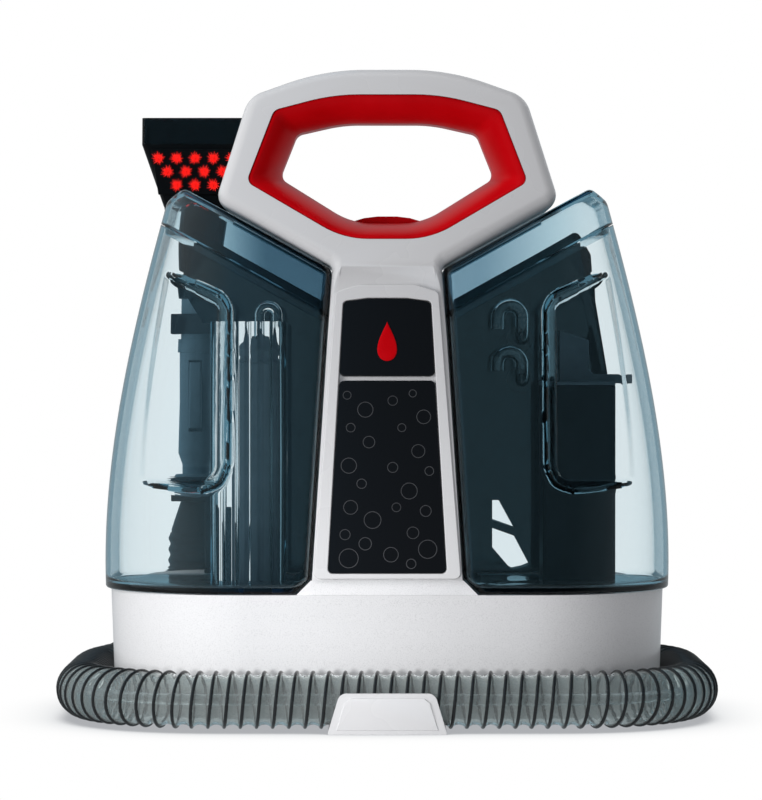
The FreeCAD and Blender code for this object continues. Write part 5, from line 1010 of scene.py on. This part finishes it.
# %% Make the tufts
TUFT_ROWS = ((5, 320.5), (4, 312.5), (3, 304.5))
TUFT_PITCH, TUFT_BACK, TUFT_TURN = 10.9, 90.0, 0.7
TUFT_LONG, TUFT_UNEVEN, UNEVEN_STEP = 6.2, 0.14, 2.1
ROOT_SPREAD, TIP_SPREAD = 1.9, 4.3
ROOT_HALF, TIP_HALF = 0.36, 0.14
FIBRES = 34
SPIKE = [[0, 1, 2, 3], [7, 6, 5, 4], [0, 4, 5, 1], [1, 5, 6, 2], [2, 6, 7, 3], [3, 7, 4, 0]]


def tuft_fibres(centre_x, centre_z, turn):
    """Fibre roots and tips: both follow the sunflower rule, on a small and on a wider circle."""
    index = np.arange(FIBRES) + 0.5
    angle = index * math.pi * (3 - math.sqrt(5)) + turn
    spread = np.stack([np.cos(angle), np.zeros(FIBRES), np.sin(angle)], 1) * np.sqrt(index / FIBRES)[:, None]
    centre = np.array([centre_x, TUFT_BACK, centre_z])
    root, tip = centre + spread * ROOT_SPREAD, centre + spread * TIP_SPREAD
    tip[:, 1] -= TUFT_LONG * (1 - TUFT_UNEVEN + TUFT_UNEVEN * np.cos(index * UNEVEN_STEP))
    return root, tip


def tufts():
    """Eight corners for each fibre: four round its root and four round its tip."""
    pairs = []
    for row, (count, height) in enumerate(TUFT_ROWS):
        for index in range(count):
            across = WAND_X + (index - (count - 1) / 2) * TUFT_PITCH
            pairs.append(tuft_fibres(across, height, row + index * TUFT_TURN))
    roots, tips = np.concatenate(pairs, axis=1)
    corner = np.array([[1, 0, 1], [-1, 0, 1], [-1, 0, -1], [1, 0, -1]]) / math.sqrt(2)
    points = np.concatenate([roots[:, None] + corner * ROOT_HALF, tips[:, None] + corner * TIP_HALF], 1)
    faces = (np.array(SPIKE) + (np.arange(len(roots)) * 8)[:, None, None]).reshape(-1, 4).tolist()
    return add_piece("brush_tufts", points * MM, faces, smooth=False)


brush = finished(tufts(), FINISHES["tuft"])
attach(brush, "tool")
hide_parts("bristles")
print("fibres:", FIBRES * sum(count for count, height in TUFT_ROWS))

# %% [markdown]
# ## Print on the panels
# The lower panel carries a thin grey print, which here is a drift of soap bubbles. Each bubble is a flat ring
# that lies a hair above the gloss, with its place and radius listed. The upper panel has one red
# drop.

# %% Lay rings and a drop on the leaning column
def on_column(x, height, out):
    """A point on the column's front: across, up its slope, and out from it, in metres."""
    lean_sin, lean_cos = math.sin(COLUMN_LEAN), math.cos(COLUMN_LEAN)
    spot = np.stack(np.broadcast_arrays(
        x, COLUMN_FOOT[1] - out * lean_cos + height * lean_sin,
        COLUMN_FOOT[2] + out * lean_sin + height * lean_cos), -1)
    return spot * MM


BUBBLES = [
    (-21, 12, 5.2), (-12, 20, 3.4), (-23, 25, 2.8), (2, 14, 4.0), (13, 9, 2.6), (22, 17, 5.0), (14, 26, 3.2),
    (-8, 33, 4.6), (-20, 40, 3.8), (5, 40, 2.4), (21, 38, 3.0), (12, 49, 4.4), (-14, 53, 2.6), (-21, 63, 4.2),
    (23, 60, 2.4), (3, 62, 2.8), (17, 71, 3.6), (-10, 76, 3.2), (-20, 84, 2.4), (8, 84, 2.2), (20, 90, 3.8),
    (-12, 94, 4.2), (3, 99, 2.6), (-22, 102, 2.2), (14, 103, 2.0),
]
RING_STEPS, RING_HALF, RING_HIGH = 40, 0.22, 0.08
DROP_STEPS, DROP_HALF, DROP_TALL, DROP_UP, DROP_POINT = 64, 7.6, 11.0, 132.0, 1.4
DROP_ROWS = [(1.0, 0.0), (1.0, 0.5), (0.94, 0.75), (0.84, 0.85)]


def bubble_print():
    """Rings of four corners round: low and high edge, outer and inner radius."""
    angle = np.linspace(0, 2 * math.pi, RING_STEPS, endpoint=False)[None, :, None]
    across, up, radius = np.array(BUBBLES).T[..., None, None]
    radius = radius + np.array([-RING_HALF, RING_HALF, RING_HALF, -RING_HALF])
    out = np.array([0.0, 0.0, RING_HIGH, RING_HIGH]) + PANEL_OUT
    points = on_column(across + radius * np.cos(angle), up + radius * np.sin(angle), out)
    faces = []
    for index in range(len(BUBBLES)):
        faces += grid_faces(RING_STEPS, 4, close_rows=True, first=index * RING_STEPS * 4)
    return add_piece("panel_bubbles", points, faces, smooth=False)


def drop_emblem():
    """A drop: a circle whose upper part is drawn to a point, in rows that shrink as they rise."""
    angle = np.linspace(0, 2 * math.pi, DROP_STEPS, endpoint=False)
    width = DROP_HALF * np.sin(angle) * np.sin(angle / 2) ** DROP_POINT
    shrink, out = np.array(DROP_ROWS).T[..., None]
    points = on_column(width * shrink, DROP_UP + DROP_TALL * np.cos(angle) * shrink, out + PANEL_OUT)
    return add_piece("panel_drop", points, capped_faces(len(DROP_ROWS), DROP_STEPS))


print_grey = moulded_plastic("print_grey", (0.055, 0.056, 0.06), rough=0.35, grain=0.05)
bubbles = finished(bubble_print(), print_grey)
drop = finished(drop_emblem(), red_soft("drop_red", rough=0.16))
for piece in (bubbles, drop):
    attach(piece, "machine")
print("bubbles:", len(BUBBLES))

# %% [markdown]
# ## Light that knows its way
# The ground of the photograph is plain white, yet black pieces stay black and the tanks have dark edges. So
# the paper and the world round it have four colours: one where the camera sees them straight or through
# clear plastic, one in reflections, one for light that was turned back inside a clear wall, and one for the
# light that they shed on dull surfaces. The Light Path node counts the bounces of each kind.

# %% Choose a colour by the way of the light
COLOUR_A, COLOUR_B, COLOUR_OUT = 6, 7, 2


def mixed_by(owner, factor, first, second):
    """The first colour where the factor is nought and the second where it is one or more."""
    mix = add_node(owner, "Mix", factor=factor)
    mix.data_type = "RGBA"
    set_socket(owner, mix.inputs[COLOUR_A], first)
    set_socket(owner, mix.inputs[COLOUR_B], second)
    return mix.outputs[COLOUR_OUT]


def colour_by_way(owner, seen, mirrored, inside, shed):
    """Colours before any bounce, after a glossy one, after one within clear plastic, and after a dull one."""
    way = add_node(owner, "LightPath")
    glossy = mixed_by(owner, way.outputs["Transmission Depth"], mirrored, inside)
    chosen = mixed_by(owner, way.outputs["Glossy Depth"], seen, glossy)
    return mixed_by(owner, way.outputs["Diffuse Depth"], chosen, shed)


# %% [markdown]
# ## Floor and backdrop
# A large floor runs up into a backdrop behind the machine. It glows by itself, and the Ambient Occlusion
# node darkens it where the hose and the feet come close, which is the machine's soft shadow.

# %% Stage the floor and the backdrop
WHITE = (1.0, 1.0, 1.0)
WALL_EDGE = (0.20, 0.34, 0.41)
PAPER_MIRRORED = (0.36, 0.40, 0.42)
PAPER_SHED = (0.44, 0.44, 0.45)
SHADOW_REACH = 0.05
SHADOW = [(0.35, (0.42, 0.43, 0.45)), (0.6, (0.82, 0.83, 0.84)), (0.95, WHITE)]
SHEET_NEAR, SHEET_FAR, SHEET_BEND, SHEET_TOP, SHEET_HALF = -4.0, 2.2, 0.8, 4.0, 4.5
BEND_STEPS = 24


def stage_material(name):
    """Paper that only glows, in a colour that depends on the way of the light."""
    material = bpy.data.materials.new(name)
    material.use_nodes = True
    near = add_node(material, "AmbientOcclusion", distance=SHADOW_REACH)
    seen = ramp_of(material, near.outputs["AO"], SHADOW)
    colour = colour_by_way(material, seen, PAPER_MIRRORED, WALL_EDGE, PAPER_SHED)
    glow = add_node(material, "Emission", color=colour)
    feed(material, material.node_tree.nodes["Material Output"], surface=glow.outputs[0])
    material.cycles.emission_sampling = "NONE"
    return material


def stage_sheet():
    """A floor that curves up into a wall: straight, a quarter circle, straight."""
    bend = np.linspace(0, math.pi / 2, BEND_STEPS)
    depth = np.r_[SHEET_NEAR, SHEET_FAR, SHEET_FAR + SHEET_BEND * np.sin(bend), SHEET_FAR + SHEET_BEND]
    height = np.r_[0.0, 0.0, SHEET_BEND - SHEET_BEND * np.cos(bend), SHEET_TOP]
    across = np.array([-SHEET_HALF, SHEET_HALF])
    points = np.stack(np.broadcast_arrays(across[None, :], depth[:, None], height[:, None]), -1)
    return add_piece("paper_sweep", points, grid_faces(len(depth), 2, close_columns=False))


sweep = stage_sheet()
sweep.data.materials.append(stage_material("paper_white"))
print("faces of the paper:", len(sweep.data.polygons))

# %% [markdown]
# ## Lamps and world
# The left of the machine is brightly lit and its right is an even pale grey. A lamp close to the left fades
# across the front, one above lights the handle, two behind rim both sides, and a beam along the floor
# brightens the base. The world fills the shade, more from the level than from above. In mirrors it is
# bright on the left, dark in the middle and pale again on the right, so edges gleam.

# %% Set the lamps and the world
MIDDLE = (0.0, 0.0, 0.16)
BEAM_SOFT = 0.12


def hung_lamp(name, data, place, aim):
    """A lamp that shines from its place to its aim, and isn't seen in mirrors or through clear walls."""
    lamp = bpy.data.objects.new(name, data)
    lamp.location = place
    way = np.array(aim) - np.array(place)
    lamp.rotation_euler = (math.atan2(math.hypot(way[0], way[1]), -way[2]), 0.0, math.atan2(-way[0], way[1]))
    lamp.visible_glossy = False
    lamp.visible_transmission = False
    bpy.context.scene.collection.objects.link(lamp)


def add_lamp(name, place, aim, size, power):
    data = bpy.data.lights.new(name, "AREA")
    data.shape = "RECTANGLE"
    data.size, data.size_y = size
    data.energy = power
    hung_lamp(name, data, place, aim)


def add_beam(name, place, aim, spread, power):
    """A soft round beam with no edge."""
    data = bpy.data.lights.new(name, "SPOT")
    data.spot_size = math.radians(spread)
    data.spot_blend = 1.0
    data.shadow_soft_size = BEAM_SOFT
    data.energy = power
    hung_lamp(name, data, place, aim)


add_lamp("key_lamp", place=(-0.55, -0.50, 0.26), aim=(-0.08, 0.0, 0.16), size=(0.35, 0.35), power=2.7)
add_lamp("top_lamp", place=(-0.1, -0.1, 1.10), aim=MIDDLE, size=(0.6, 0.3), power=3.0)
add_lamp("left_rim", place=(-0.9, 0.8, 0.7), aim=MIDDLE, size=(0.5, 0.8), power=4.0)
add_lamp("right_rim", place=(0.9, 0.8, 0.7), aim=MIDDLE, size=(0.5, 0.8), power=4.0)
add_beam("base_beam", place=(-0.35, -1.30, 0.06), aim=(-0.05, -0.12, 0.02), spread=15.0, power=50.0)

SKY_SHED = [(0.45, (0.30, 0.30, 0.31)), (0.75, (0.14, 0.14, 0.15)), (1.0, (0.20, 0.20, 0.21))]
SKY_MIRRORED = [(0.0, (0.85, 0.95, 1.0)), (0.30, (0.40, 0.52, 0.58)), (0.478, (0.20, 0.42, 0.62)),
                (0.494, (0.03, 0.06, 0.08)), (0.7, (0.02, 0.035, 0.045)), (0.9, (0.15, 0.2, 0.22)),
                (1.0, (0.5, 0.56, 0.6))]


def studio_world():
    """White when seen, a ramp from left to right in mirrors, and a ramp over height for the light shed."""
    world = bpy.data.worlds.new("studio")
    world.use_nodes = True
    split = add_node(world, "SeparateXYZ", vector=add_node(world, "TexCoord").outputs["Generated"])
    skies = []
    for axis, stops in (("X", SKY_MIRRORED), ("Z", SKY_SHED)):
        spread = add_node(world, "MapRange", value=split.outputs[axis], from_min=-1.0)
        skies.append(ramp_of(world, spread.outputs[0], stops))
    mirrored, shed = skies
    colour = colour_by_way(world, WHITE, mirrored, WALL_EDGE, shed)
    feed(world, world.node_tree.nodes["Background"], color=colour)
    world.cycles.sampling_method = "NONE"
    return world


bpy.context.scene.world = studio_world()
bpy.context.scene.view_settings.view_transform = "Standard"
